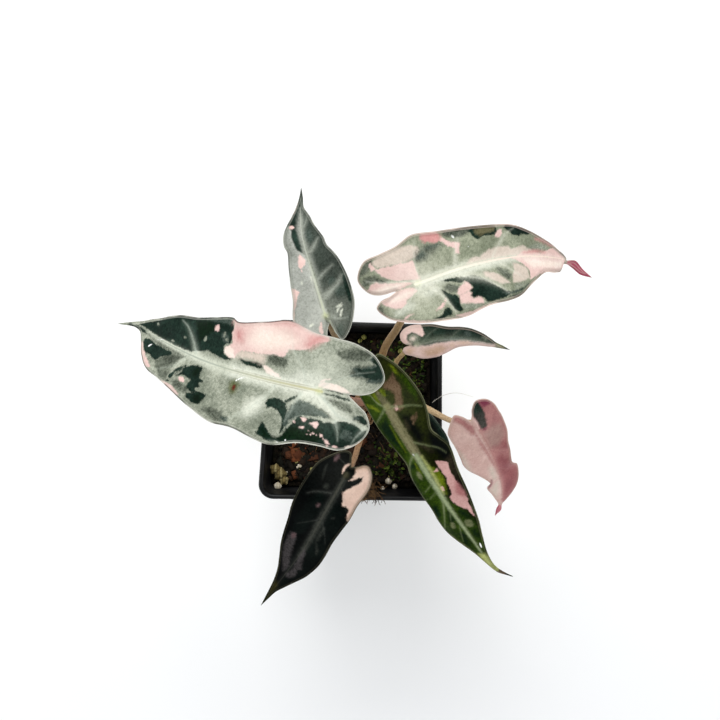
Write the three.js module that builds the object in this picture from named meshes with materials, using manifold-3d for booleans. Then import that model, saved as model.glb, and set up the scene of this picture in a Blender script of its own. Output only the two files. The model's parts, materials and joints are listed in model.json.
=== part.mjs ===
// Potted bambino alocasia: a small variegated aroid in a thin square nursery pot.
// Millimetres, +Z up. The origin is the middle of the pot's underside, on the surface it stands on.
// Eight arrow-shaped blades stand on their own stalks, which rise together from one corm in the soil.

import * as THREE from 'three';
import { mergeVertices } from 'three/addons/utils/BufferGeometryUtils.js';
import Module from 'manifold-3d';

const wasm = await Module();
wasm.setup();

// Pot: thin black plastic, pulled a little out of square at the rim by handling
const POT_HEIGHT = 88;
const RIM_CORNERS = [[-46.7, -42.9], [43.4, -44.1], [43.6, 42.1], [-40.4, 44.8]];
const BASE_HALF_WIDTH = 31.5;
const CORNER_RADIUS = 7.3;
const COLLAR_HEIGHT = 10;
const COLLAR_STEP = 1.6;
const POT_WALL = 1.4;
const LIP_WIDTH = 2.4;
const LIP_HEIGHT = 2;
const FLOOR_THICKNESS = 1.8;
const DRAIN_RADIUS = 4;
const DRAIN_OFFSET = 19;
const WALL_LEVELS = [14, 30, 46, 62];

// Soil: a chunky bark mix that fills the pot to just under the collar
const SOIL_LEVEL = 76;
const FIT_GAP = 0.4;
const BARK_CHIPS = 46;
const GRIT_STONES = 22;
const CHIP_SPREAD = 30;

// Corm: the short woody stump that carries every stalk
const CROWN = [11.8, 5];
const CORM_TOP = 82;
const CORM_RADIUS = 10.3;
const CORM_BOTTOM = 55;
const STALK_RING = 7;
const SOCKET_FLOOR = 77.5;
const SOCKET_GAP = 0.35;

// Blades and stalks
const BLADE_THICKNESS = 0.8;
const RIB_DEPTH = 1.5;
const ROWS = [0, 0.12, 0.45, 0.75, 1];
const LOBE_SPANS = 7;
const LOBE_RIB_SHARE = 0.72;
const STALK_SIDES = 8;
const STALK_STEPS = 14;
const STALK_NECK = 4;

// Each blade is drawn flat: x runs forward along the midrib from the stalk, y to its left.
// midrib     the curve that the midrib follows in space
// fold       how steeply each half rises from the midrib, in degrees (left, right)
// curl       how much of that each half loses by its edge, in degrees (left, right)
// halfWidth  the width over which the curl is spread
// lobeDrop   how far the lobes sink 10 mm behind the stalk
// left/right the edge of each half as [x, y, rise], from the tip round the lobe to the notch
// base       where the stalk leaves the corm, as a compass angle (none is the middle)
// stalk      points that the stalk passes through, and its radii at the corm and at the blade
const LEAVES = [
  {
    name: 'left',
    midrib: [[-11.7, 13.4, 214], [-33.9, 18.6, 217], [-54.5, 24.4, 208], [-74.7, 32.8, 190],
      [-84.8, 38.2, 181], [-95.5, 39.7, 172]],
    fold: [8, 8], curl: [8, 8], halfWidth: 24, lobeDrop: 1,
    left: [[90, 1, 0], [84, 4.2, 0], [79, 9, 0], [74.5, 12.6, -0.5], [66, 13.6, 0], [56, 15, 1],
      [46, 18.1, 0], [37, 20.8, -1], [27, 20.3, 1.2], [14.5, 23.3, -1.5], [4.5, 20.4, 0.5],
      [-4, 19.7, 1.5], [-12, 20, 0], [-19, 16.5, -1], [-22.5, 10.5, -1], [-20, 5, 0],
      [-16, 2.2, 0.8], [-11.5, -0.8, 0]],
    right: [[90, -2, 0], [83, -6, 0], [76, -9, 0.5], [68, -12.3, 0], [58, -14.3, -0.5],
      [48, -16.8, 0], [40.5, -18.8, -1.5], [34, -17.8, 1.5], [25, -20.3, 0.5], [16, -23, -1.5],
      [6.5, -20.8, 0], [-2, -20.5, 1], [-10, -20, 0.5], [-18.5, -17, -0.5], [-24, -10, -1],
      [-21.5, -4.6, 0], [-16.5, -2, 0.8], [-11.5, -0.8, 0]],
    base: 170, stalk: [[6, 5.6, 105], [2, 6.8, 148], [-3.2, 9.2, 178], [-8.6, 11.8, 198]],
    stalkRadius: [2.2, 1.5],
  },
  {
    name: 'right',
    midrib: [[25.2, 53.7, 206], [43.9, 59.8, 210], [64.1, 64.1, 202], [81.9, 64.6, 188],
      [86, 63.1, 183], [97.1, 58.1, 176]],
    fold: [8, 8], curl: [8, 8], halfWidth: 18, lobeDrop: 1,
    left: [[80, 1.1, 0], [74.5, 2.2, 0.6], [70.6, 0.7, 0], [66.5, 2.2, 0], [60, 5, 0],
      [53, 7.2, 0.6], [45.5, 10.4, 0], [40.5, 12.5, -0.8], [32, 13.1, 1], [23, 14.3, 0],
      [13.5, 15.9, -1], [4, 17.8, 1], [-4, 15.7, 0.5], [-11, 15, 0.5], [-18, 14.4, 0],
      [-22.8, 9, -0.8], [-20.5, 3.2, 0], [-16, 0.4, 0.5], [-9.2, -0.3, 0]],
    right: [[80, -1.3, 0], [74.5, -0.7, -0.6], [70.8, -0.8, 0], [69, -4.4, -1], [62, -5.8, 0],
      [54, -6.3, 1.2], [47.5, -10.2, 0.4], [41, -14.6, -1], [33, -16, 0], [24, -16.2, 1],
      [14, -17.9, -1], [4, -16.4, 0.4], [-3, -14.9, 0.6], [-9, -12.7, 0.4], [-15, -9.4, 0],
      [-18.8, -4.6, -0.5], [-16.8, -2.3, 0], [-13, -1.6, 0.5], [-9.2, -0.3, 0]],
    base: 85, stalk: [[12.6, 17.5, 106], [13.9, 29.2, 140], [19.5, 39.2, 167], [23.8, 49, 190]],
    stalkRadius: [2.2, 1.3],
  },
  {
    name: 'back',
    midrib: [[-11.3, 43.6, 152], [-16.7, 61.2, 150], [-22.3, 81, 138], [-23.6, 104, 118]],
    fold: [12, 12], curl: [8, 8], halfWidth: 14, lobeDrop: 1,
    left: [[66, 0.7, 0], [59, 2, 0], [52, 4, 0], [46, 6.2, 0.3], [41, 8.2, 0], [36.5, 8.8, -0.8],
      [31, 7.8, 1.2], [24, 9.3, 0.4], [17, 10.6, -0.6], [10, 11.5, 0.4], [3, 13.8, -0.6],
      [-3, 14, 0.6], [-8, 12.6, 0.4], [-12, 9, 0], [-12.6, 5, -0.4], [-9.6, 2.3, 0],
      [-6, 0.9, 0.3], [-2.5, -1.4, 0]],
    right: [[66, -0.8, 0], [59, -1.4, 0], [52, -4, 0.3], [45.5, -6.1, 0], [40, -8.1, -0.6],
      [35, -9.3, 0], [29.5, -9.7, 0.9], [23, -12.4, 0], [16, -13.9, -0.8], [9.5, -14.3, 0.5],
      [2.5, -13.9, 0], [-3.5, -11.7, 0.4], [-8, -9, 0], [-11.3, -5.6, -0.4], [-11.4, -3.4, 0],
      [-8.6, -2.2, 0], [-5.6, -1.8, 0.3], [-2.5, -1.4, 0]],
    base: 125, stalk: [[3.5, 17.5, 104], [-4.6, 29.5, 129], [-9.4, 39, 143]],
    stalkRadius: [1.9, 1.1],
  },
  {
    name: 'small',
    midrib: [[29.1, 31.6, 126], [42.1, 34, 126], [58.6, 33.1, 116], [74.6, 29.5, 102]],
    fold: [10, -25], curl: [10, 30], halfWidth: 9, lobeDrop: 1,
    left: [[49, 0.9, 0], [43.5, 1.5, 0], [38, 2.9, 0], [32, 4.4, 0.3], [26, 5.6, 0], [20, 5.8, 0.8],
      [13.5, 5.8, 1.2], [8, 7.9, -0.3], [2, 9, 0.6], [-1.5, 9.1, 0.8], [-4.5, 8.2, 0.6],
      [-6.6, 6.2, 0.3], [-6.9, 3.8, 0], [-6, 2, 0], [-4.8, 1, 0], [-3.5, 0.3, 0]],
    right: [[49, -0.6, 0], [43.5, -1.1, 0], [38, -1.8, 0], [32, -2.3, 0], [26, -3.2, 0.3],
      [20.5, -4.6, 0.5], [15, -9, 0], [9, -10.2, 0.4], [3, -9.9, 0], [-0.5, -7.6, 0.2],
      [-3, -5.8, 0], [-5.6, -4.2, 0], [-6.9, -2.2, 0], [-6.3, -0.6, 0], [-5, 0.1, 0],
      [-3.5, 0.3, 0]],
    base: 45, stalk: [[18.5, 15, 91], [20.4, 23.8, 106], [25.8, 29.8, 118]],
    stalkRadius: [1.6, 0.9],
  },
  {
    name: 'front',
    midrib: [[14.2, 5.6, 172], [25.9, -13.6, 166], [38.7, -33.7, 158], [52.3, -53.1, 145],
      [62.8, -67.1, 134], [73, -73.8, 122]],
    fold: [6, -28], curl: [10, 34], halfWidth: 15, lobeDrop: 1,
    left: [[103, 0.7, 0], [94, 1, 0], [85, 2.2, 0], [76, 4.7, 0], [67, 7.2, 0.8], [58, 9.4, -0.4],
      [49, 10.7, 1], [40, 12.1, -0.6], [29.5, 14.3, -1.4], [22.5, 12.6, 1], [17, 11.2, 2.4],
      [11, 13.5, 0.6], [5, 15, -1], [-2, 14.8, 0.8], [-9, 13.8, 0.4], [-15, 11.8, 0],
      [-20, 8.5, -0.6], [-18.5, 4.5, 0], [-14, 2, 0.4], [-10, 0, 0]],
    right: [[103, -1, 0], [94, -1.5, 0], [85, -3.3, 0], [77, -6.3, 0.6], [70, -9.6, -0.8],
      [61, -9.9, 0.6], [52, -8.9, 1.4], [43, -9.5, 0], [35, -9, -0.8], [28, -6.8, 1.6],
      [22, -7.4, 1.6], [15, -9.2, 0], [7, -10.2, -0.6], [0, -9.8, 0.4], [-8, -9.4, 0.4],
      [-15, -8.6, 0], [-20, -6.2, -0.4], [-18.5, -3.4, 0], [-14, -1.6, 0.4], [-10, 0, 0]],
    base: null, stalk: [[12.6, 4.6, 108], [14, 5, 142]],
    stalkRadius: [2.2, 1.4],
  },
  {
    name: 'pink',
    midrib: [[57.2, -7.6, 120], [65.1, -20.5, 108], [71.7, -34.7, 90], [73.8, -47.8, 72],
      [72.5, -55.1, 60]],
    fold: [-6, -6], curl: [10, 10], halfWidth: 14, lobeDrop: 1,
    left: [[72, 1.2, 0], [65.5, 0.8, 0], [60.5, 3, 0], [55, 5.8, 0], [49, 8.4, 0], [43, 10, -0.4],
      [37.5, 10.6, -1], [30, 8.1, 1.4], [23.5, 9.7, 0], [16.5, 10.3, 1], [11, 12.8, 0],
      [4, 13.9, -1], [-2, 13.4, 0.6], [-7, 13, 0.4], [-11.5, 10.6, 0], [-13.8, 6, -0.4],
      [-12, 2.6, 0], [-9.5, 1, 0.3], [-7.2, -0.7, 0]],
    right: [[72, -1.3, 0], [65.5, -1.1, 0], [60.5, -2.9, 0], [55, -4.8, 0], [49.5, -6.8, 0],
      [43.5, -7, 1], [37, -5.4, 2.4], [31, -9, 0.6], [25.5, -12.6, -0.6], [18.5, -14, 0],
      [11.5, -13.6, 0.8], [4, -13, 0], [-2, -13.1, 0.4], [-6.5, -12.6, 0.4], [-10.5, -9.4, 0],
      [-13.2, -6, -0.4], [-11.5, -3.4, 0], [-9.3, -1.9, 0.3], [-7.2, -0.7, 0]],
    base: -5, stalk: [[21.5, 6, 90], [27.5, 5.8, 102], [35.2, 1.9, 108], [46, -3.4, 113]],
    stalkRadius: [2.1, 1.1],
  },
  {
    name: 'dark',
    midrib: [[-2.7, -25.3, 142], [-11.9, -41.7, 140], [-22.1, -60.1, 130], [-42.7, -89.2, 112]],
    fold: [6, 2], curl: [8, 10], halfWidth: 14, lobeDrop: 1,
    left: [[76, 0.8, 0], [70.5, 1.6, 0], [65, 3.6, 0], [59, 6, 0], [53, 8.2, 0.3], [46, 9.7, 0],
      [39, 9.8, 0.8], [31, 9.4, 1], [24, 10.3, 0], [17, 11.2, -0.6], [9.5, 11, 0.6], [2, 12, 0],
      [-2.5, 11.4, 0.4], [-6, 9.8, 0.2], [-8.2, 7, 0], [-7.6, 4.6, 0], [-6, 3, 0], [-5, 1.6, 0],
      [-4.2, 0.3, 0]],
    right: [[76, -0.9, 0], [70.5, -1.7, 0], [65, -2.7, 0], [59, -4.4, 0], [53, -7, 0],
      [46, -10, 0.4], [39, -12, 0], [31, -13.4, -0.6], [24, -14.6, 0], [17, -15.2, 0.6],
      [9.5, -15, 0], [2.5, -14, -0.4], [-2, -12, 0.3], [-6, -9, 0.2], [-9, -6, 0], [-9.6, -3, 0],
      [-7.6, -1.4, 0], [-5.8, -0.5, 0], [-4.2, 0.3, 0]],
    base: -120, stalk: [[6, -5.6, 94], [3.4, -12.4, 112], [0.2, -21, 131]],
    stalkRadius: [1.9, 1.1],
  },
  {
    name: 'old',
    midrib: [[29.4, -6.5, 97], [34, -16.5, 98.5], [39.5, -28.5, 96], [44.5, -39.5, 93]],
    fold: [6, 6], curl: [12, 12], halfWidth: 12, lobeDrop: 1,
    left: [[33, 1.3, 0], [29, 3.6, 0], [25, 6.6, 0], [20.5, 9.8, 0.4], [15.5, 11.6, -0.4],
      [10.5, 12, 0.4], [6, 11.4, 0], [1.5, 10.4, 0.3], [-1.5, 9.6, 0.3], [-4.5, 8.4, 0],
      [-7, 6.4, 0], [-8, 4, 0], [-6.6, 2, 0], [-5, 0.9, 0], [-3.6, 0, 0]],
    right: [[33, -1.3, 0], [29, -3.8, 0], [25, -6.4, 0.3], [20.5, -9, 0], [15.5, -11, -0.4],
      [10.5, -11.8, 0.4], [6, -11.4, 0], [1.5, -10.6, 0], [-1.5, -9.8, 0.3], [-4.5, -8.4, 0],
      [-7, -6.2, 0], [-8, -3.8, 0], [-6.6, -2, 0], [-5, -0.9, 0], [-3.6, 0, 0]],
    base: -55, stalk: [[18.4, -2.4, 85], [24.4, -4.8, 91]],
    stalkRadius: [1.5, 1],
  },
];

const UP = new THREE.Vector3(0, 0, 1);
const vector = ([x, y, z]) => new THREE.Vector3(x, y, z);
const smoothThrough = (points) => new THREE.CatmullRomCurve3(points, false, 'catmullrom', 0.5);

function geometryFrom(points, triangles) {
  const geometry = new THREE.BufferGeometry();
  geometry.setAttribute('position', new THREE.Float32BufferAttribute(points.flatMap((p) => [p.x, p.y, p.z]), 3));
  geometry.setIndex(triangles.flat());
  geometry.computeVertexNormals();
  return geometry;
}

function solidFrom(geometry) {
  const bare = geometry.clone();
  bare.deleteAttribute('normal');
  bare.deleteAttribute('uv');
  const merged = mergeVertices(bare, 1e-4);
  return new wasm.Manifold(new wasm.Mesh({
    numProp: 3,
    vertProperties: new Float32Array(merged.attributes.position.array),
    triVerts: new Uint32Array(merged.index.array),
  }));
}

function geometryOf(solid) {
  const mesh = solid.getMesh();
  const geometry = new THREE.BufferGeometry();
  geometry.setAttribute('position', new THREE.BufferAttribute(mesh.vertProperties, 3));
  geometry.setIndex(new THREE.BufferAttribute(mesh.triVerts, 1));
  geometry.computeVertexNormals();
  return geometry;
}

// Skins a stack of rings with equal point counts and closes both ends over a middle point
function loft(rings, firstMiddle, lastMiddle) {
  const count = rings[0].length;
  const points = [...rings.flat(), firstMiddle, lastMiddle];
  const first = points.length - 2;
  const last = points.length - 1;
  const triangles = [];
  for (let ring = 0; ring < rings.length - 1; ring += 1) {
    for (let i = 0; i < count; i += 1) {
      const a = ring * count + i;
      const b = ring * count + (i + 1) % count;
      triangles.push([a, b, b + count], [a, b + count, a + count]);
    }
  }
  const top = (rings.length - 1) * count;
  for (let i = 0; i < count; i += 1) {
    const next = (i + 1) % count;
    triangles.push([first, next, i], [last, top + i, top + next]);
  }
  return geometryFrom(points, triangles);
}

// A square with rounded corners at height z, drawn in from the pot's outer face by an inset.
// It is the inner polygon of the corner centres, swept by the corner radius.
function potRing(z, inset) {
  const share = z / POT_HEIGHT;
  const square = [[-1, -1], [1, -1], [1, 1], [-1, 1]];
  const corners = RIM_CORNERS.map(([x, y], i) => new THREE.Vector2(
    THREE.MathUtils.lerp(square[i][0] * BASE_HALF_WIDTH, x, share),
    THREE.MathUtils.lerp(square[i][1] * BASE_HALF_WIDTH, y, share),
  ));
  const radius = Math.max(CORNER_RADIUS - inset, 1);
  const edges = corners.map((corner, i) => {
    const run = corners[(i + 1) % 4].clone().sub(corner).normalize();
    const outward = new THREE.Vector2(run.y, -run.x);
    return { run, outward, offset: outward.dot(corner) - inset - radius };
  });
  const arcPoints = 4;
  const sidePoints = 3;
  const arcs = edges.map((edge, i) => {
    const before = edges[(i + 3) % 4];
    const cross = before.outward.x * edge.outward.y - before.outward.y * edge.outward.x;
    const centre = new THREE.Vector2(
      (before.offset * edge.outward.y - edge.offset * before.outward.y) / cross,
      (edge.offset * before.outward.x - before.offset * edge.outward.x) / cross,
    );
    const from = before.outward.angle();
    const turn = (edge.outward.angle() - from + 2 * Math.PI) % (2 * Math.PI);
    return Array.from({ length: arcPoints + 1 }, (_, k) => {
      const angle = from + turn * k / arcPoints;
      return new THREE.Vector3(centre.x + radius * Math.cos(angle), centre.y + radius * Math.sin(angle), z);
    });
  });
  return arcs.flatMap((arc, i) => {
    const start = arc[arcPoints];
    const end = arcs[(i + 1) % 4][0];
    const side = Array.from({ length: sidePoints }, (_, k) => start.clone().lerp(end, (k + 1) / (sidePoints + 1)));
    return [...arc, ...side];
  });
}

function potGeometry() {
  const ledge = POT_HEIGHT - COLLAR_HEIGHT;
  const inside = COLLAR_STEP + POT_WALL;
  const profile = [
    [0, COLLAR_STEP + 1.2], [1.2, COLLAR_STEP], ...WALL_LEVELS.map((z) => [z, COLLAR_STEP]),
    [ledge - 1, COLLAR_STEP], [ledge, 0.6],
    [POT_HEIGHT - LIP_HEIGHT, 0.6], [POT_HEIGHT - LIP_HEIGHT + 0.4, 0], [POT_HEIGHT - 0.5, 0],
    [POT_HEIGHT, 0.5], [POT_HEIGHT, LIP_WIDTH - 0.4], [POT_HEIGHT - 0.5, LIP_WIDTH],
    [ledge + 1.6, LIP_WIDTH], [ledge + 0.6, inside],
    ...WALL_LEVELS.toReversed().map((z) => [z, inside]),
    [FLOOR_THICKNESS + 1, inside], [FLOOR_THICKNESS, inside + 1],
  ];
  const shell = loft(
    profile.map(([z, inset]) => potRing(z, inset)),
    new THREE.Vector3(0, 0, 0),
    new THREE.Vector3(0, 0, FLOOR_THICKNESS),
  );
  const drain = new THREE.CylinderGeometry(DRAIN_RADIUS, DRAIN_RADIUS, 3 * FLOOR_THICKNESS, 14);
  drain.rotateX(Math.PI / 2);
  let pot = solidFrom(shell);
  for (const [x, y] of [[-1, -1], [1, -1], [1, 1], [-1, 1], [0, -1.15], [1.15, 0], [0, 1.15], [-1.15, 0]]) {
    const hole = solidFrom(drain.clone().translate(x * DRAIN_OFFSET, y * DRAIN_OFFSET, FLOOR_THICKNESS / 2));
    pot = pot.subtract(hole);
  }
  return geometryOf(pot);
}

function cormProfile(grow) {
  return [
    [0, CORM_BOTTOM - grow], [6, CORM_BOTTOM + 1.5 - grow], [CORM_RADIUS - 0.8 + grow, CORM_BOTTOM + 7],
    [CORM_RADIUS + grow, CORM_BOTTOM + 15], [CORM_RADIUS - 0.3 + grow, CORM_TOP - 6],
    [CORM_RADIUS - 2.3 + grow, CORM_TOP - 2], [4, CORM_TOP - 0.4 + grow], [0, CORM_TOP + grow],
  ].map(([r, z]) => new THREE.Vector2(r, z));
}

function cormSolid(grow) {
  const body = new THREE.LatheGeometry(cormProfile(grow), 20);
  body.rotateX(Math.PI / 2);
  body.translate(CROWN[0], CROWN[1], 0);
  return solidFrom(body);
}

// Seeded draws, so that every build scatters the same chips
let seed = 20;
function draw(low, high) {
  seed = (seed * 1664525 + 1013904223) % 4294967296;
  return low + (high - low) * seed / 4294967296;
}

function soilHeight(x, y) {
  const broad = 0.9 * Math.sin(x / 9 + 1) * Math.cos(y / 8);
  const lumps = 0.7 * Math.sin(x / 3.3 + 2) * Math.sin(y / 3.9 + x / 11);
  return SOIL_LEVEL + broad + lumps;
}

// Chips keep off the pot's wall and off the crown, which stands in its own plain hole
function chipPlace() {
  for (;;) {
    const x = draw(-CHIP_SPREAD, CHIP_SPREAD);
    const y = draw(-CHIP_SPREAD, CHIP_SPREAD);
    if (Math.hypot(x - CROWN[0], y - CROWN[1]) > CORM_RADIUS + 6) return [x, y];
  }
}

// The outermost shell alone is kept, so air trapped under a chip is filled and loose scraps go
function soilGeometry() {
  const inside = COLLAR_STEP + POT_WALL + FIT_GAP;
  const bottom = FLOOR_THICKNESS + FIT_GAP;
  const shoulder = SOIL_LEVEL - 0.6;
  const rim = potRing(shoulder, inside);
  const terraces = [1, 0.93, 0.8, 0.64, 0.48, 0.3, 0.13].map((share) => rim.map((p) => {
    const x = p.x * share;
    const y = p.y * share;
    return new THREE.Vector3(x, y, share === 1 ? shoulder : soilHeight(x, y));
  }));
  let soil = solidFrom(loft(
    [potRing(bottom, inside + 1), potRing(bottom + 1, inside),
      ...WALL_LEVELS.map((z) => potRing(z, inside)), ...terraces],
    new THREE.Vector3(0, 0, bottom),
    new THREE.Vector3(0, 0, soilHeight(0, 0)),
  ));
  const bark = () => new THREE.BoxGeometry(draw(5, 10), draw(3, 5.5), draw(1.8, 3));
  const grit = () => new THREE.OctahedronGeometry(draw(1.4, 2.4), 0);
  const chips = [...Array(BARK_CHIPS).fill(bark), ...Array(GRIT_STONES).fill(grit)];
  for (const chip of chips) {
    const [x, y] = chipPlace();
    const piece = chip();
    piece.rotateX(draw(-0.45, 0.45));
    piece.rotateY(draw(-0.45, 0.45));
    piece.rotateZ(draw(0, Math.PI));
    piece.translate(x, y, soilHeight(x, y) + draw(-0.4, 0.6));
    soil = soil.add(solidFrom(piece));
  }
  const pieces = soil.subtract(cormSolid(FIT_GAP)).decompose();
  return geometryOf(pieces.sort((a, b) => b.volume() - a.volume())[0]);
}

// A round stalk that thins towards the blade, with a flat end at each side
function stalkGeometry(points, [baseRadius, topRadius], grow = 0) {
  const curve = smoothThrough(points);
  const frames = curve.computeFrenetFrames(STALK_STEPS, false);
  const rings = Array.from({ length: STALK_STEPS + 1 }, (_, step) => {
    const share = step / STALK_STEPS;
    const centre = curve.getPointAt(share);
    const radius = THREE.MathUtils.lerp(baseRadius, topRadius, share ** 0.8) + grow;
    return Array.from({ length: STALK_SIDES }, (__, side) => {
      const angle = 2 * Math.PI * side / STALK_SIDES;
      return centre.clone()
        .addScaledVector(frames.normals[step], radius * Math.cos(angle))
        .addScaledVector(frames.binormals[step], radius * Math.sin(angle));
    });
  });
  return loft(rings, curve.getPointAt(0), curve.getPointAt(1));
}

// Bends the flat drawing of a blade into space: along the midrib, then up or down to each side
function bladeSurface(leaf) {
  const midrib = smoothThrough(leaf.midrib.map(vector));
  const length = midrib.getLength();
  function place(x, y, rise) {
    const share = THREE.MathUtils.clamp(x / length, 0, 1);
    const forward = midrib.getTangentAt(share);
    const sideways = UP.clone().cross(forward).normalize();
    const normal = forward.clone().cross(sideways);
    const half = y > 0 ? 0 : 1;
    const fold = THREE.MathUtils.degToRad(leaf.fold[half]);
    const bend = THREE.MathUtils.degToRad(leaf.curl[half]) / leaf.halfWidth;
    const edge = fold - bend * Math.abs(y);
    const reach = (Math.sin(fold) - Math.sin(edge)) / bend;
    const lift = (Math.cos(edge) - Math.cos(fold)) / bend;
    const drop = leaf.lobeDrop * (Math.min(x, 0) / 10) ** 2;
    return midrib.getPointAt(share)
      .addScaledVector(forward, x - share * length)
      .addScaledVector(sideways, Math.sign(y) * reach)
      .addScaledVector(normal, lift + rise - drop);
  }
  const forward = midrib.getTangentAt(0);
  const normal = forward.clone().cross(UP.clone().cross(forward).normalize());
  return { place, length, normal };
}

// Gives an open sheet its thickness, straight down from each point, and closes it round the edge
function thicken(sheet, depths, triangles) {
  const flat = geometryFrom(sheet, triangles);
  const normals = flat.getAttribute('normal');
  const under = sheet.map((p, i) => p.clone().addScaledVector(
    new THREE.Vector3().fromBufferAttribute(normals, i), -depths[i]));
  const count = sheet.length;
  const runs = new Set(triangles.flatMap(([a, b, c]) => [`${a}>${b}`, `${b}>${c}`, `${c}>${a}`]));
  const edges = [...runs].map((run) => run.split('>').map(Number)).filter(([a, b]) => !runs.has(`${b}>${a}`));
  return geometryFrom([...sheet, ...under], [
    ...triangles,
    ...triangles.map(([a, b, c]) => [c + count, b + count, a + count]),
    ...edges.flatMap(([a, b]) => [[b, a, a + count], [b, a + count, b + count]]),
  ]);
}

// Both halves fan out from the midrib and from the ribs of the two lobes to the edge
function bladeGeometry(leaf) {
  const { place, length } = bladeSurface(leaf);
  const sheet = [];
  const depths = [];
  const triangles = [];
  const corners = new Map();
  function corner(key, x, y, rise, depth) {
    if (!corners.has(key)) {
      corners.set(key, sheet.length);
      sheet.push(place(x, y, rise));
      depths.push(depth);
    }
    return corners.get(key);
  }
  const ribSpans = leaf.left.length - LOBE_SPANS;
  const attachX = (leaf.left[ribSpans - 1][0] + leaf.right[ribSpans - 1][0]) / 2;
  function footOnMidrib(step) {
    if (step === 0) return length;
    const middle = (leaf.left[step - 1][0] + leaf.right[step - 1][0]) / 2;
    return length * (middle - attachX) / (length - attachX);
  }
  for (const side of ['left', 'right']) {
    const drawn = leaf[side];
    const edge = smoothThrough([new THREE.Vector3(length, 0, 0), ...drawn.map(vector)]);
    const spans = drawn.length;
    const lobeEnd = edge.getPoint((ribSpans + 3.5) / spans).multiplyScalar(LOBE_RIB_SHARE);
    const steps = [
      ...Array.from({ length: ribSpans }, (_, i) => i),
      ...Array.from({ length: 2 * LOBE_SPANS + 1 }, (_, i) => ribSpans + i / 2),
    ];
    const rows = steps.map((step) => {
      const margin = edge.getPoint(step / spans);
      const beyond = step - ribSpans;
      const reach = Math.min(beyond, LOBE_SPANS - beyond, 3) / 3;
      const onLobe = reach > 0;
      const along = step < ribSpans ? footOnMidrib(step) : 0;
      const foot = onLobe ? lobeEnd.clone().multiplyScalar(reach) : new THREE.Vector3(along, 0, 0);
      const rib = RIB_DEPTH * (onLobe ? 1 - 0.8 * reach : 1 - 0.8 * along / length);
      const footKey = onLobe ? `${side} lobe ${reach.toFixed(3)}` : `midrib ${along.toFixed(3)}`;
      return ROWS.map((share) => {
        if (share === 0 || step === 0) return corner(footKey, foot.x, foot.y, 0, BLADE_THICKNESS + rib);
        const key = step === spans ? `notch ${share}` : `${side} ${step} ${share}`;
        const x = THREE.MathUtils.lerp(foot.x, margin.x, share);
        const y = THREE.MathUtils.lerp(foot.y, margin.y, share);
        return corner(key, x, y, margin.z * share * share, BLADE_THICKNESS);
      });
    });
    for (let i = 0; i < rows.length - 1; i += 1) {
      for (let k = 0; k < ROWS.length - 1; k += 1) {
        const quad = [rows[i][k], rows[i][k + 1], rows[i + 1][k + 1], rows[i + 1][k]];
        if (side === 'right') quad.reverse();
        const [a, b, c, d] = quad;
        triangles.push([a, b, c], [a, c, d]);
      }
    }
  }
  const whole = triangles.filter(([a, b, c]) => a !== b && b !== c && c !== a);
  return thicken(sheet, depths, whole);
}

// The stalk starts in its socket in the corm and meets the blade square on, under the ribs
function stalkPoints(leaf) {
  const angle = THREE.MathUtils.degToRad(leaf.base ?? 0);
  const ring = leaf.base === null ? 0 : STALK_RING;
  const foot = new THREE.Vector3(CROWN[0] + ring * Math.cos(angle), CROWN[1] + ring * Math.sin(angle), SOCKET_FLOOR);
  const { place, normal } = bladeSurface(leaf);
  const under = BLADE_THICKNESS + RIB_DEPTH + FIT_GAP;
  const head = place(0, 0, 0).addScaledVector(normal, -under);
  const neck = head.clone().addScaledVector(normal, -STALK_NECK);
  return [foot, ...leaf.stalk.map(vector), neck, head];
}

const FINISHES = {
  pot: { color: 0x26282b, roughness: 0.55 },
  soil: { color: 0x2a1f17, roughness: 1 },
  corm: { color: 0x8a6a45, roughness: 0.8 },
  stalk: { color: 0xa08460, roughness: 0.5 },
  left: { color: 0x8b9c86, roughness: 0.45 },
  right: { color: 0xb9beab, roughness: 0.45 },
  back: { color: 0x5c6b62, roughness: 0.45 },
  small: { color: 0xb79a86, roughness: 0.45 },
  front: { color: 0x3c4f1c, roughness: 0.4 },
  pink: { color: 0xa97d78, roughness: 0.45 },
  dark: { color: 0x1c2724, roughness: 0.4 },
  old: { color: 0x24403c, roughness: 0.45 },
};

const plant = new THREE.Group();

function addPiece(name, geometry, finish, parent = plant) {
  const material = new THREE.MeshStandardMaterial({ ...FINISHES[finish], metalness: 0 });
  const mesh = new THREE.Mesh(geometry, material);
  mesh.name = name;
  parent.add(mesh);
}

addPiece('pot', potGeometry(), 'pot');
addPiece('soil', soilGeometry(), 'soil');

let corm = cormSolid(0);
for (const leaf of LEAVES) {
  const points = stalkPoints(leaf);
  const start = points[0].clone().setZ(SOCKET_FLOOR - SOCKET_GAP);
  const socket = stalkGeometry([start, ...points.slice(1)], leaf.stalkRadius, SOCKET_GAP);
  corm = corm.subtract(solidFrom(socket));
  const whole = new THREE.Group();
  addPiece(`blade_${leaf.name}`, bladeGeometry(leaf), leaf.name, whole);
  addPiece(`stalk_${leaf.name}`, stalkGeometry(points, leaf.stalkRadius), 'stalk', whole);
  plant.add(whole);
}
addPiece('corm', geometryOf(corm), 'corm');

export default plant;
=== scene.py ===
import json
import math

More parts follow.
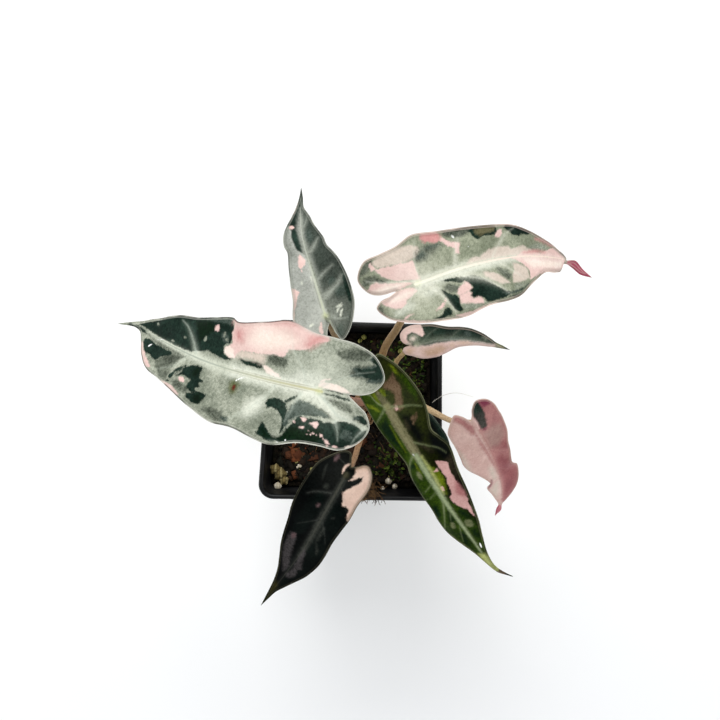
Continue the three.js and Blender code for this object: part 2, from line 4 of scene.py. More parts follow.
import bpy
import numpy as np
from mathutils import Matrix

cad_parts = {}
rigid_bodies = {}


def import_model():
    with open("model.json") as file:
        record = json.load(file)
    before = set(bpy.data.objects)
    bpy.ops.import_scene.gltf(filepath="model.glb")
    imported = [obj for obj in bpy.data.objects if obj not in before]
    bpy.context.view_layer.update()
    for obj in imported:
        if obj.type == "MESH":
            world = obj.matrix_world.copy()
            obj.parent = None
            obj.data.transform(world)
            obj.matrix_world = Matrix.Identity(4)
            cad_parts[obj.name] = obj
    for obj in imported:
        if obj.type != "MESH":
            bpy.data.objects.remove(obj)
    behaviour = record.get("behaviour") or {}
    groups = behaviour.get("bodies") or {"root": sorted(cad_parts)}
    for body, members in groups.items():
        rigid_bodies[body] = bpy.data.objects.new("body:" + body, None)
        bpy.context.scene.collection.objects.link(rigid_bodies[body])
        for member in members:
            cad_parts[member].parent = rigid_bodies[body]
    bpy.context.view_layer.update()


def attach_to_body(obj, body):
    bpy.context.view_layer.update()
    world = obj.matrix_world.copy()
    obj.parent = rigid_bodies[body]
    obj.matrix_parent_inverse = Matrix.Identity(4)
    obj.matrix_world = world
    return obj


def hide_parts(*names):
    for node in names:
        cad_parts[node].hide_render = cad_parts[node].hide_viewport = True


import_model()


# The pot is a thin square nursery pot of black polypropylene, one moulding with a stiff collar
# under its rolled lip. Handling has pulled its rim a little out of square.
MM = 0.001
POT_HEIGHT = 88
RIM_CORNERS = [(-46.7, -42.9), (43.4, -44.1), (43.6, 42.1), (-40.4, 44.8)]
BASE_HALF_WIDTH = 31.5
CORNER_RADIUS = 7.3
COLLAR_HEIGHT = 10
COLLAR_STEP = 1.6
POT_WALL = 1.4
LIP_WIDTH = 2.4
LIP_HEIGHT = 2
FLOOR_THICKNESS = 1.8
DRAIN_RADIUS = 4
DRAIN_OFFSET = 19
DRAIN_SPOTS = [(-1, -1), (1, -1), (1, 1), (-1, 1), (0, -1.15), (1.15, 0), (0, 1.15), (-1.15, 0)]
WALL_LEVELS = [14, 30, 46, 62]
ARC_STEPS = 12
SIDE_STEPS = 22
LIP_CROWN = 1.2
LIP_STEPS = 9
EDGE_BEVEL = 0.25
BEVELLED_ANGLE = 50
CREASE_ANGLE = 40
DRAIN_STEPS = 40


class Value:
    """A socket of a node tree: sums, products and quotients of it add their Math nodes."""

    def __init__(self, tree, socket=None):
        self.tree = tree
        self.socket = socket

    def node(self, kind, settings=(), inputs=(), output=0):
        """Adds one node: first its settings, then the values or links of its sockets."""
        made = self.tree.nodes.new(kind)
        for name, setting in dict(settings).items():
            if name == "stops":
                ramp = made.color_ramp.elements
                while len(ramp) < len(setting):
                    ramp.new(0.5)
                for element, (position, colour) in zip(ramp, setting):
                    element.position, element.color = position, colour
            else:
                setattr(made, name, setting)
        for key, value in dict(inputs).items():
            if isinstance(value, Value):
                self.tree.links.new(value.socket, made.inputs[key])
            else:
                made.inputs[key].default_value = value
        return Value(self.tree, made.outputs[output])

    def maths(self, operation, *values):
        return self.node("ShaderNodeMath", {"operation": operation}, dict(enumerate(values)))

    def __add__(self, other):
        return self.maths("ADD", self, other)

    def __radd__(self, other):
        return self.maths("ADD", other, self)

    def __sub__(self, other):
        return self.maths("SUBTRACT", self, other)

    def __rsub__(self, other):
        return self.maths("SUBTRACT", other, self)

    def __mul__(self, other):
        return self.maths("MULTIPLY", self, other)

    def __rmul__(self, other):
        return self.maths("MULTIPLY", other, self)

    def __truediv__(self, other):
        return self.maths("DIVIDE", self, other)

    def step(self, low, high):
        """0 below low, 1 above high, with a soft rise between them."""
        return self.node("ShaderNodeMapRange", {"interpolation_type": "SMOOTHSTEP"},
                         {"Value": self, "From Min": low, "From Max": high})

    def blend(self, under, over, mode="MIX"):
        """Lays one colour over another, by as much as this value says."""
        return self.node("ShaderNodeMix", {"data_type": "RGBA", "blend_type": mode},
                         {0: self, 6: under, 7: over}, 2)

    def place(self):
        """Where a point is on the object, in millimetres."""
        spot = self.node("ShaderNodeTexCoord", output="Object")
        return spot.scaled(1 / MM)

    def scaled(self, share):
        return self.node("ShaderNodeVectorMath", {"operation": "SCALE"}, {0: self, "Scale": share})

    def stretched(self, *shares):
        """This vector, drawn out by a share of its own along each axis."""
        return self.node("ShaderNodeVectorMath", {"operation": "MULTIPLY"}, {0: self, 1: shares})

    def part(self, axis):
        """One of this vector's three parts, by its letter."""
        return self.node("ShaderNodeSeparateXYZ", (), {0: self}, axis)

    def measure(self, name, output="Fac"):
        """What the mesh keeps at each of its points under this name."""
        return self.node("ShaderNodeAttribute", {"attribute_name": name}, output=output)

    def ramp(self, stops):
        """The colour that this value picks among (position, colour) stops."""
        return self.node("ShaderNodeValToRGB", {"stops": stops}, {0: self})

    def noise(self, size, detail=3, roughness=0.55, seed=0):
        """Soft noise over this vector, in patches of about the size given."""
        settings = {"noise_dimensions": "4D"}
        return self.node("ShaderNodeTexNoise", settings, {
            "Vector": self, "W": seed, "Scale": 1 / size, "Detail": detail, "Roughness": roughness})

    def bump(self, height, depth):
        """A surface direction that follows a height in millimetres times depth."""
        return self.node("ShaderNodeBump", (), {"Height": height, "Distance": depth * MM, "Strength": 1})


def tone(red, green, blue):
    """A colour from its everyday red, green and blue of 0 to 255."""
    shares = [channel / 255 for channel in (red, green, blue)]
    linear = [s / 12.92 if s <= 0.04045 else ((s + 0.055) / 1.055) ** 2.4 for s in shares]
    return (*linear, 1)


def finish(name, constants, paint):
    """Makes a material. The constants go on its shader, and paint returns what varies over it."""
    material = bpy.data.materials.new(name)
    material.use_nodes = True
    tree = material.node_tree
    shader = tree.nodes["Principled BSDF"]
    for socket, value in constants.items():
        shader.inputs[socket].default_value = value
    for socket, value in paint(Value(tree)).items():
        tree.links.new(value.socket, shader.inputs[socket])
    return material


def keep_piece(name, mesh, material, slot, *nodes):
    """Puts a finished mesh in the scene, on the body, in place of the nodes it stands for."""
    piece = bpy.data.objects.new(name, mesh)
    bpy.context.scene.collection.objects.link(piece)
    if material:
        mesh.materials.clear()
        mesh.materials.append(material)
    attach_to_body(piece, "root")
    if nodes:
        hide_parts(*nodes)


def mesh_of(name, points, faces, sharp_angle=180):
    """A smooth mesh from points in millimetres, with creases where faces meet more steeply."""
    mesh = bpy.data.meshes.new(name)
    mesh.from_pydata((np.asarray(points) * MM).tolist(), [], [tuple(face) for face in faces])
    mesh.shade_smooth()
    if sharp_angle < 180:
        mesh.set_sharp_from_angle(angle=math.radians(sharp_angle))
    return mesh


def store(mesh, measures):
    """Keeps measures with a mesh, a number or a vector for each of its points."""
    for name, values in measures.items():
        values = np.asarray(values, np.float32)
        kind, field = ("FLOAT", "value") if values.ndim == 1 else ("FLOAT_VECTOR", "vector")
        mesh.attributes.new(name, kind, "POINT").data.foreach_set(field, values.ravel())


def evaluated_copy(piece):
    """The mesh that an object's modifiers make of it."""
    evaluated = piece.evaluated_get(bpy.context.evaluated_depsgraph_get())
    return bpy.data.meshes.new_from_object(evaluated)


def full_turn(steps):
    """Angles spread evenly over a full turn."""
    return np.linspace(0, math.tau, steps, endpoint=False)


def ring_at(middle, radius, z, steps):
    """A level ring of points round a middle, whose radius may change from point to point."""
    angles = full_turn(steps)
    return np.column_stack([
        middle[0] + radius * np.cos(angles), middle[1] + radius * np.sin(angles), np.full(steps, z)])


def loft(rings, first_middle, last_middle):
    """Skins a stack of rings with equal point counts, and closes both ends over a middle point."""
    count = len(rings[0])
    points = np.vstack([*rings, [first_middle], [last_middle]])
    faces = []
    for ring in range(len(rings) - 1):
        for i in range(count):
            a, b = ring * count + i, ring * count + (i + 1) % count
            faces.append((a, b, b + count, a + count))
    first, last, top = len(points) - 2, len(points) - 1, (len(rings) - 1) * count
    for i in range(count):
        following = (i + 1) % count
        faces += [(first, following, i), (last, top + i, top + following)]
    return points, faces


def pot_ring(z, inset):
    """The pot's rounded square at height z, drawn in from its outer face."""
    share = z / POT_HEIGHT
    square = np.array([(-1, -1), (1, -1), (1, 1), (-1, 1)]) * BASE_HALF_WIDTH
    corners = square + (np.array(RIM_CORNERS) - square) * share
    radius = max(CORNER_RADIUS - inset, 1)
    runs = np.roll(corners, -1, axis=0) - corners
    runs /= np.linalg.norm(runs, axis=1)[:, None]
    outward = np.stack([runs[:, 1], -runs[:, 0]], axis=1)
    offsets = (outward * corners).sum(1) - inset - radius
    arcs = []
    for i in range(4):
        before, after = outward[i - 1], outward[i]
        centre = np.linalg.solve([before, after], [offsets[i - 1], offsets[i]])
        start = math.atan2(before[1], before[0])
        turn = (math.atan2(after[1], after[0]) - start) % math.tau
        angles = start + turn * np.linspace(0, 1, ARC_STEPS + 1)
        arcs.append(centre + radius * np.stack([np.cos(angles), np.sin(angles)], axis=1))
    points = []
    for i in range(4):
        side = np.linspace(arcs[i][-1], arcs[(i + 1) % 4][0], SIDE_STEPS + 2)[1:-1]
        points += [*arcs[i], *side]
    return np.column_stack([points, np.full(len(points), z)])


def pot_mesh():
    ledge = POT_HEIGHT - COLLAR_HEIGHT
    inside = COLLAR_STEP + POT_WALL
    lip = [(POT_HEIGHT - LIP_CROWN + LIP_CROWN * math.sin(a), (1 - math.cos(a)) * LIP_WIDTH / 2)
           for a in np.linspace(0, math.pi, LIP_STEPS)]
    # height and inset, from the foot up the outer wall, over the lip and down the inner wall
    profile = [
        (0, COLLAR_STEP + 2.2), (0, COLLAR_STEP + 1.2), (0.4, COLLAR_STEP + 0.4), (1.2, COLLAR_STEP),
        *[(z, COLLAR_STEP) for z in WALL_LEVELS],
        (ledge - 1.6, COLLAR_STEP), (ledge - 0.9, COLLAR_STEP - 0.2), (ledge - 0.2, 0.9),
        (ledge + 0.3, 0.6), (POT_HEIGHT - LIP_HEIGHT - 0.4, 0.6), *lip, (POT_HEIGHT - 2.6, LIP_WIDTH),
        (ledge + 2, LIP_WIDTH), (ledge + 1, inside - 0.2), (ledge + 0.4, inside),
        *[(z, inside) for z in reversed(WALL_LEVELS)],
        (FLOOR_THICKNESS + 1, inside), (FLOOR_THICKNESS + 0.3, inside + 0.3),
        (FLOOR_THICKNESS, inside + 1),
    ]
    points, faces = loft([pot_ring(z, inset) for z, inset in profile], (0, 0, 0), (0, 0, FLOOR_THICKNESS))
    blank = bpy.data.objects.new("pot_blank", mesh_of("pot_blank", points, faces))
    bpy.context.scene.collection.objects.link(blank)
    cutters = bpy.data.collections.new("drain_cutters")
    for x, y in DRAIN_SPOTS:
        ring = ring_at((x * DRAIN_OFFSET, y * DRAIN_OFFSET), DRAIN_RADIUS, -FLOOR_THICKNESS, DRAIN_STEPS)
        rings = [ring, ring + (0, 0, 3 * FLOOR_THICKNESS)]
        plug = mesh_of("drain_cutter", *loft(rings, rings[0].mean(0), rings[1].mean(0)))
        cutters.objects.link(bpy.data.objects.new("drain_cutter", plug))
    cut = blank.modifiers.new("drains", "BOOLEAN")
    cut.operand_type, cut.collection, cut.operation = "COLLECTION", cutters, "DIFFERENCE"
    bevel = blank.modifiers.new("edges", "BEVEL")
    bevel.width, bevel.segments, bevel.angle_limit = EDGE_BEVEL * MM, 2, math.radians(BEVELLED_ANGLE)
    mesh = evaluated_copy(blank)
    mesh.shade_smooth()
    mesh.set_sharp_from_angle(angle=math.radians(CREASE_ANGLE))
    for spare in [blank, *cutters.objects]:
        bpy.data.objects.remove(spare)
    bpy.data.collections.remove(cutters)
    return mesh


def paint_pot(start):
    spot = start.place()
    grain = spot.noise(0.35, 2)
    cloudy = spot.noise(14, 4)
    scuffs = spot.stretched(0.2, 0.2, 1.4).noise(2.2, 5, 0.7).step(0.6, 0.72)
    dust = cloudy.step(0.42, 0.7) * spot.part("Z").step(POT_HEIGHT - 22, POT_HEIGHT)
    colour = (0.12 * dust + 0.08 * scuffs).blend(tone(9, 10, 12), tone(90, 88, 86))
    roughness = 0.36 + 0.14 * cloudy + 0.16 * scuffs + 0.14 * dust
    return {"Base Color": colour, "Roughness": roughness, "Normal": start.bump(grain + scuffs, 0.03)}


black_plastic = finish("black_plastic", {"Specular IOR Level": 0.22}, paint_pot)
keep_piece("nursery_pot", pot_mesh(), black_plastic, "pot_plastic", "pot")


# The soil is a chunky mix of composted bark, grit and fibre that fills the pot to just under its
# collar. It is poured in loose and has settled in low lumps round the crown.
SOIL_LEVEL = 76
FIT_GAP = 0.4
CROWN = (11.8, 5)
CORM_RADIUS = 10.3
SOIL_ROLL = 0.9
SOIL_CLOD = 0.7
SOIL_CRUMB = 0.3
SOIL_SHOULDER = 0.6
SOIL_TERRACES = 58


def soil_height(x, y):
    broad = SOIL_ROLL * np.sin(x / 9 + 1) * np.cos(y / 8)
    lumps = SOIL_CLOD * np.sin(x / 3.3 + 2) * np.sin(y / 3.9 + x / 11)
    return SOIL_LEVEL + broad + lumps


def soil_mesh():
    inside = COLLAR_STEP + POT_WALL + FIT_GAP
    bottom = FLOOR_THICKNESS + FIT_GAP
    rim = pot_ring(SOIL_LEVEL - SOIL_SHOULDER, inside)
    terraces = [rim]
    for share in np.linspace(0.985, 0.02, SOIL_TERRACES):
        x, y = rim[:, 0] * share, rim[:, 1] * share
        crumbs = SOIL_CRUMB * np.sin(2.1 * x + 1.3 * y) * np.sin(1.7 * y - 0.8 * x)
        crumbs = crumbs * min(1, (1 - share) * 8)
        terraces.append(np.column_stack([x, y, soil_height(x, y) + crumbs]))
    rings = [pot_ring(bottom, inside + 1), pot_ring(bottom + 1, inside)]
    rings += [pot_ring(z, inside) for z in WALL_LEVELS]
    return mesh_of("soil_bed", *loft(rings + terraces, (0, 0, bottom), (0, 0, soil_height(0, 0))))


def paint_soil(start):
    spot = start.place()
    crumbs = spot.noise(1.6, 5, 0.65)
    # painted shade: the dips of the bump are painted near-black as shade between the crumbs
    colour = crumbs.step(0.35, 0.7).blend(tone(6, 5, 4), tone(30, 24, 17))
    colour = spot.noise(5, 3, seed=4).step(0.55, 0.7).blend(colour, tone(20, 24, 10))
    return {"Base Color": colour, "Roughness": 0.85 + 0.1 * crumbs, "Normal": start.bump(crumbs, 0.9)}


dark_soil = finish("dark_soil", {"Specular IOR Level": 0.1}, paint_soil)
keep_piece("soil_bed", soil_mesh(), dark_soil, "bark_soil", "soil")


# Bark chips, grit, perlite and feed beads lie loose on the soil where they were poured. Each kind
# is one scatter of small rough lumps, kept off the crown and off the pot's wall.
WALL_MARGIN = 4.2
CROWN_MARGIN = 1.5
SOIL_REACH = [(-41, 39), (-39, 40)]
SOIL_GRID = 90
KNOB_SCALE = 620.0


def open_tree(name, **defaults):
    """A node tree that takes a mesh and named sizes, and a value for each of them to build on."""
    tree = bpy.data.node_groups.new(name, "GeometryNodeTree")
    for side in ("INPUT", "OUTPUT"):
        tree.interface.new_socket("Geometry", in_out=side, socket_type="NodeSocketGeometry")
    for socket, default in defaults.items():
        kind = "NodeSocketInt" if isinstance(default, int) else "NodeSocketFloat"
        tree.interface.new_socket(socket, in_out="INPUT", socket_type=kind).default_value = default
    given = tree.nodes.new("NodeGroupInput").outputs
    return Value(tree), {socket: Value(tree, given[socket]) for socket in ("Geometry", *defaults)}


def close_tree(grown, material):
    """Ends a node tree: what has grown is smoothed and gets its material."""
    smooth = grown.node("GeometryNodeSetShadeSmooth", (), {0: grown})
    coated = grown.node("GeometryNodeSetMaterial", (), {"Geometry": smooth, "Material": material})
    leaving = grown.tree.nodes.new("NodeGroupOutput")
    grown.tree.links.new(coated.socket, leaving.inputs[0])
    return grown.tree


def scatter_tree(name, material, lump, segments):
    """A node tree that strews rough lumps over the surface it is given."""
    start, want = open_tree(name, Density=4000.0, Length=0.004, Flatness=0.5, Tilt=0.5, Sink=0.0,
                            Roughness=0.0004, Seed=1)

    def random(low, high, channel):
        """A fixed random number for each lump, from its own channel of the seed."""
        return start.node("FunctionNodeRandomValue", {"data_type": "FLOAT"}, {
            2: float(low), 3: float(high), "Seed": want["Seed"] * 100 + channel}, 1)

    room = start.node("GeometryNodeInputNamedAttribute", {"data_type": "FLOAT"}, {"Name": "room"})
    strewn = start.node("GeometryNodeDistributePointsOnFaces", {"distribute_method": "RANDOM"}, {
        "Mesh": want["Geometry"], "Density": want["Density"] * room, "Seed": want["Seed"]})
    if lump == "block":
        solid = start.node("GeometryNodeMeshCube", (), {
            "Size": (1, 1, 1), "Vertices X": segments + 2, "Vertices Y": segments + 1,
            "Vertices Z": segments})
    else:
        solid = start.node("GeometryNodeMeshIcoSphere", (), {"Radius": 0.5, "Subdivisions": segments})
    size = random(0.45, 1.0, 11)
    width = random(0.45, 0.8, 12)
    thickness = random(0.6, 1.1, 13) * want["Flatness"]
    length = size * want["Length"]
    scale = start.node("ShaderNodeCombineXYZ", (), {
        "X": length, "Y": length * width, "Z": length * thickness})
    turn = start.node("ShaderNodeCombineXYZ", (), {
        "X": random(-1, 1, 14) * want["Tilt"],
        "Y": random(-1, 1, 15) * want["Tilt"],
        "Z": random(0, math.tau, 16)})
    placed = start.node("GeometryNodeInstanceOnPoints", (), {
        "Points": strewn, "Instance": solid, "Rotation": turn, "Scale": scale})
    placed = start.node("GeometryNodeStoreNamedAttribute", {"data_type": "FLOAT", "domain": "INSTANCE"}, {
        "Geometry": placed, "Name": "tint", "Value": random(0, 1, 17)})
    loose = start.node("GeometryNodeRealizeInstances", (), {0: placed})
    spot = start.node("GeometryNodeInputPosition")
    knobs = start.node("ShaderNodeTexNoise", (), {"Vector": spot, "Scale": KNOB_SCALE, "Detail": 2.0}, 1)
    push = start.node("ShaderNodeVectorMath", {"operation": "SUBTRACT"}, {0: knobs, 1: (0.5, 0.5, 0.5)})
    push = push.scaled(want["Roughness"] * 2)
    lift = start.node("ShaderNodeCombineXYZ", (), {"Z": 0 - want["Sink"]})
    push = start.node("ShaderNodeVectorMath", {"operation": "ADD"}, {0: push, 1: lift})
    rough = start.node("GeometryNodeSetPosition", (), {"Geometry": loose, "Offset": push})
    return close_tree(rough, material)


def grow(name, mesh, tree, **wishes):
    """Evaluates a node tree on a mesh and returns what grows there as a plain mesh."""
    bed = bpy.data.objects.new(name, mesh)
    bpy.context.scene.collection.objects.link(bed)
    modifier = bed.modifiers.new("growth", "NODES")
    modifier.node_group = tree
    for item in tree.interface.items_tree:
        if item.item_type == "SOCKET" and item.in_out == "INPUT" and item.name in wishes:
            modifier[item.identifier] = wishes[item.name]
    grown = evaluated_copy(bed)
    bpy.data.objects.remove(bed)
    return grown


def grid_faces(grid):
    """The four-sided faces between neighbours in a grid of point numbers."""
    return np.stack([grid[:-1, :-1], grid[:-1, 1:], grid[1:, 1:], grid[1:, :-1]], -1).reshape(-1, 4)


def soil_top(name, room_at):
    """A copy of the soil's upper face, with the room for lumps at each of its points."""
    across, up = [np.linspace(*reach, SOIL_GRID) for reach in SOIL_REACH]
    x, y = [place.ravel() for place in np.meshgrid(across, up)]
    faces = grid_faces(np.arange(SOIL_GRID ** 2).reshape(SOIL_GRID, SOIL_GRID))
    mesh = mesh_of(name, np.column_stack([x, y, soil_height(x, y)]), faces)
    wall = pot_ring(SOIL_LEVEL, COLLAR_STEP + POT_WALL + WALL_MARGIN)[:, :2]
    inside = signed_distance(np.column_stack([x, y]), wall)
    off_crown = np.hypot(x - CROWN[0], y - CROWN[1]) - CORM_RADIUS - CROWN_MARGIN
    room = np.where((inside > 0) & (off_crown > 0), room_at(x, y), 0)
    store(mesh, {"room": room})
    return mesh


def signed_distance(points, outline):
    """How far each flat point is inside a closed outline, or outside it as a negative number."""
    nearest = np.full(len(points), np.inf)
    inside = np.zeros(len(points), bool)
    for a, b in zip(outline, np.roll(outline, -1, axis=0)):
        run = b - a
        share = np.clip(((points - a) @ run) / max(run @ run, 1e-9), 0, 1)
        nearest = np.minimum(nearest, np.hypot(*(points - a - share[:, None] * run).T))
        spans = (a[1] > points[:, 1]) != (b[1] > points[:, 1])
        crossing = a[0] + (points[:, 1] - a[1]) * run[0] / (run[1] if run[1] else 1e-9)
        inside ^= spans & (points[:, 0] < crossing)
    return np.where(inside, nearest, -nearest)


def lump_finish(name, shades, roughness=0.85, bump=0.25):
    """A finish for loose lumps, each with its own tone between those given and painted shade in its dips.
    """
    def paint(start):
        spot = start.place()
        stops = [(i / (len(shades) - 1), tone(*shade)) for i, shade in enumerate(shades)]
        colour = start.measure("tint").ramp(stops)
        crumbs = spot.noise(0.7, 4, 0.6)
        # painted shade: the dips of the bump are painted near-black as shade in the crevices
        colour = crumbs.step(0.5, 0.2).blend(colour, tone(6, 5, 4))
        return {"Base Color": colour, "Roughness": roughness - 0.15 * crumbs,
                "Normal": start.bump(crumbs, bump)}
    return finish(name, {"Specular IOR Level": 0.15}, paint)


def everywhere(x, y):
    return np.ones_like(x)


def towards(*spots):
    """Room that is full at each spot (x, y, reach) of the soil and gone at its reach from it."""
    def room_at(x, y):
        rooms = [1.4 - np.hypot(x - across, y - up) / reach for across, up, reach in spots]
        return np.clip(np.max(rooms, axis=0), 0, 1)
    return room_at


bark = lump_finish("bark", [
    (10, 8, 6), (30, 20, 13), (17, 14, 9), (48, 30, 19), (14, 15, 8), (26, 24, 15), (12, 10, 8)])
grit = lump_finish("grit", [(8, 7, 5), (24, 22, 13), (13, 16, 7), (46, 42, 28), (10, 9, 7)])
perlite = lump_finish("perlite", [(206, 196, 176), (170, 158, 132), (226, 218, 204)], 0.8, 0.12)
feed_beads = lump_finish("feed_beads", [(112, 112, 52), (150, 142, 86), (84, 92, 36)], 0.5, 0.05)
red_bark = lump_finish("red_bark", [(92, 48, 26), (60, 34, 20), (112, 62, 34), (44, 28, 18)], 0.8, 0.2)
moss = lump_finish("moss", [(22, 38, 8), (48, 66, 14), (30, 50, 14), (84, 100, 30), (14, 26, 6)], 0.7, 0.1)

loose_kinds = [
    ("bark_chips", bark, "block", 3, everywhere,
     {"Density": 90000.0, "Length": 0.0086, "Flatness": 0.34, "Tilt": 0.5, "Sink": 0.0002, "Seed": 3}),
    ("bark_crumbs", bark, "block", 2, everywhere,
     {"Density": 380000.0, "Length": 0.004, "Flatness": 0.5, "Tilt": 0.9, "Sink": -0.0003, "Seed": 5}),
    ("soil_grit", grit, "ball", 1, everywhere,
     {"Density": 420000.0, "Length": 0.0026, "Flatness": 0.8, "Tilt": 3.0, "Sink": -0.0002, "Seed": 8}),
    ("perlite_grains", perlite, "ball", 2, everywhere,
     {"Density": 4200.0, "Length": 0.0027, "Flatness": 0.85, "Tilt": 3.0, "Sink": -0.0008, "Seed": 21}),
    ("feed_bead_grains", feed_beads, "ball", 2, everywhere,
     {"Density": 9000.0, "Length": 0.0026, "Flatness": 0.95, "Tilt": 3.0, "Sink": -0.001,
      "Roughness": 0.0001, "Seed": 34}),
    ("red_bark_chips", red_bark, "block", 3, towards((-36, -14, 14), (-28, -24, 12), (18, -14, 12)),
     {"Density": 46000.0, "Length": 0.0072, "Flatness": 0.4, "Tilt": 0.6, "Sink": -0.0004, "Seed": 41}),
    ("moss_tufts", moss, "ball", 1,
     towards((29, 17, 15), (20, 33, 11), (33, 30, 9), (17, -25, 10), (34, -4, 8)),
     {"Density": 420000.0, "Length": 0.0026, "Flatness": 1.1, "Tilt": 1.0, "Sink": -0.0009, "Seed": 52}),
    ("moss_leaflets", moss, "block", 1, towards((29, 17, 14), (20, 33, 10), (16, -27, 7), (-8, 36, 6)),
     {"Density": 200000.0, "Length": 0.0034, "Flatness": 0.16, "Tilt": 1.3, "Sink": -0.0019,
      "Roughness": 0.0002, "Seed": 57}),
]
for name, material, lump, segments, room_at, wishes in loose_kinds:
    strewing = scatter_tree(name + "_tree", material, lump, segments)
    keep_piece(name, grow(name, soil_top(name, room_at), strewing, **wishes), None, "bark_soil")


# Larger lumps that show from above lie where they fell: chunks of pale pumice in the near left
# corner, perlite by the collar and feed beads. Each is pressed halfway into the bark.
PEBBLE_SIDES = 18
PEBBLE_ROWS = 11
PEBBLE_POLE = 0.94
SQUAT = 0.42
PERCH = 1.4


def pebble(centre, size, wildness, phase):
    """The rings of one rounded lump, knobbly by its wildness."""
    around = full_turn(PEBBLE_SIDES)
    rings = []
    for height in np.linspace(-PEBBLE_POLE, PEBBLE_POLE, PEBBLE_ROWS):
        swell = 1 + wildness * np.sin(3 * around + phase + 4 * height) * np.cos(2 * around - 5 * height)
        across = math.sqrt(1 - height * height) * swell * size / 2
        rings.append(ring_at(centre, across, centre[2] + SQUAT * size * height, PEBBLE_SIDES))
    return rings


def pebbles_mesh(name, lumps):
    points, faces = [], []
    for x, y, size, wildness in lumps:
        lift = soil_height(x, y) + PERCH
        rings = pebble((x, y, lift), size, wildness, x + y)
        shape, skin = loft(rings, (x, y, lift - SQUAT * size), (x, y, lift + SQUAT * size))
        faces += [tuple(corner + len(points) for corner in face) for face in skin]
        points += [tuple(point) for point in shape]
    mesh = mesh_of(name, points, faces)
    store(mesh, {"tint": [0.5 + 0.5 * math.sin(9 * point[0] / 4) for point in points]})
    return mesh


pumice = lump_finish("pumice", [(128, 112, 70), (92, 80, 46), (164, 150, 106)], 0.8, 0.3)
pebble_kinds = [
    ("pumice_chunks", pumice, [
        (-38.6, -29.4, 4.6, 0.42), (-36.2, -31.8, 5.4, 0.45), (-34.4, -34.8, 4.2, 0.42),
        (-30.4, -13.6, 2.6, 0.3)]),
    ("loose_perlite", perlite, [
        (-37.4, -37.8, 3.8, 0.16), (17.6, -35.2, 3.4, 0.14), (20.6, -38, 2.6, 0.14), (14.6, -39, 2.2, 0.12),
        (-26.4, -27.4, 2.2, 0.1)]),
    ("loose_beads", feed_beads, [
        (23.6, 29.2, 3, 0.05), (5.4, 36.2, 2.6, 0.05), (3.4, 34.2, 2.4, 0.05), (26.4, 33.6, 2.4, 0.05),
        (-20.4, -29.4, 2.2, 0.05), (11.6, -31.4, 2, 0.05)]),
]
for name, material, lumps in pebble_kinds:
    keep_piece(name, pebbles_mesh(name, lumps), material, "bark_soil")


# Coir fibres, the brown hairs of coconut husk, are mixed through the bark. They lie across it in
# loose curls, and one tuft has been dragged over the near rim, where it hangs over the lip.
FIBRE_POINTS = 14
LYING_FIBRES = 90
DRAGGED_FIBRES = 80
FIBRE_RADIUS = 0.24
FIBRE_THINNING = 0.12
FIBRE_WANDER = 0.28
SOIL_REST = 1.9
LIP_REST = 0.7
LIP_DROOP = 2.4
CLIMB_START = -35.5
CLIMB_RUN = 3.6
NEAR_LIP = -44.4


def strand_tree(material):
    """A node tree that turns chains of points into round strands with faint lengthwise swells."""
    start, want = open_tree("strand_tree", Sides=26, Swell=0.00012)
    radius = start.node("GeometryNodeInputNamedAttribute", {"data_type": "FLOAT"}, {"Name": "thick"})
    path = start.node("GeometryNodeMeshToCurve", (), {"Mesh": want["Geometry"]})
    ring = start.node("GeometryNodeCurvePrimitiveCircle", (), {"Resolution": want["Sides"], "Radius": 1.0})
    tube = start.node("GeometryNodeCurveToMesh", (), {
        "Curve": path, "Profile Curve": ring, "Scale": radius, "Fill Caps": True})
    squeezed = start.node("GeometryNodeInputPosition").stretched(1, 1, 0.12)
    swells = start.node("ShaderNodeTexNoise", (), {"Vector": squeezed, "Scale": 700.0, "Detail": 1.0})
    push = start.node("GeometryNodeInputNormal").scaled((swells - 0.5) * want["Swell"] * 2)
    swollen = start.node("GeometryNodeSetPosition", (), {"Geometry": tube, "Offset": push})
    return close_tree(swollen, material)


def spline(points, per_span=24):
    """A smooth curve through points, whose ends run straight out."""
    points = np.asarray(points, float)
    padded = np.vstack([2 * points[0] - points[1], points, 2 * points[-1] - points[-2]])
    t = np.linspace(0, 1, per_span, endpoint=False)[:, None]
    spans = [
        (2 * b + (c - a) * t + (2 * a - 5 * b + 4 * c - d) * t ** 2 + (3 * b - a - 3 * c + d) * t ** 3) / 2
        for a, b, c, d in zip(padded, padded[1:], padded[2:], padded[3:])]
    return np.vstack([*spans, points[-1:]])


def chain_mesh(name, spots, measures, per_chain=None):
    """Points in millimetres as one chain, or as chains of equal counts, with measures at each point."""
    count = len(spots)
    links = [(i, i + 1) for i in range(count - 1) if (i + 1) % (per_chain or count)]
    mesh = bpy.data.meshes.new(name)
    mesh.from_pydata((np.asarray(spots) * MM).tolist(), links, [])
    store(mesh, measures)
    return mesh


def fibre_chains(name, fibres, rng):
    """Chains of points that wander over the soil, each from a foot in a heading for its length."""
    spots, thick = [], []
    for x, y, heading, length, lift in fibres:
        for i in range(FIBRE_POINTS):
            share = i / (FIBRE_POINTS - 1)
            arch = lift * math.sin(math.pi * min(share * 1.15, 1)) - 0.3
            climb = min(max((CLIMB_START - y) / CLIMB_RUN, 0), 1)
            z = (soil_height(x, y) + SOIL_REST) * (1 - climb) + (POT_HEIGHT + LIP_REST) * climb + arch
            z -= max(0, NEAR_LIP - y) * LIP_DROOP
            spots.append((x, y, z))
            thick.append((FIBRE_RADIUS - FIBRE_THINNING * share) * MM)
            x += math.cos(heading) * length / FIBRE_POINTS
            y += math.sin(heading) * length / FIBRE_POINTS
            heading += rng.normal(0, FIBRE_WANDER)
    return chain_mesh(name, spots, {"thick": thick}, FIBRE_POINTS)


def paint_coir(start):
    shade = start.place().noise(3, 3)
    return {"Base Color": shade.step(0.35, 0.65).blend(tone(34, 23, 13), tone(92, 68, 42))}


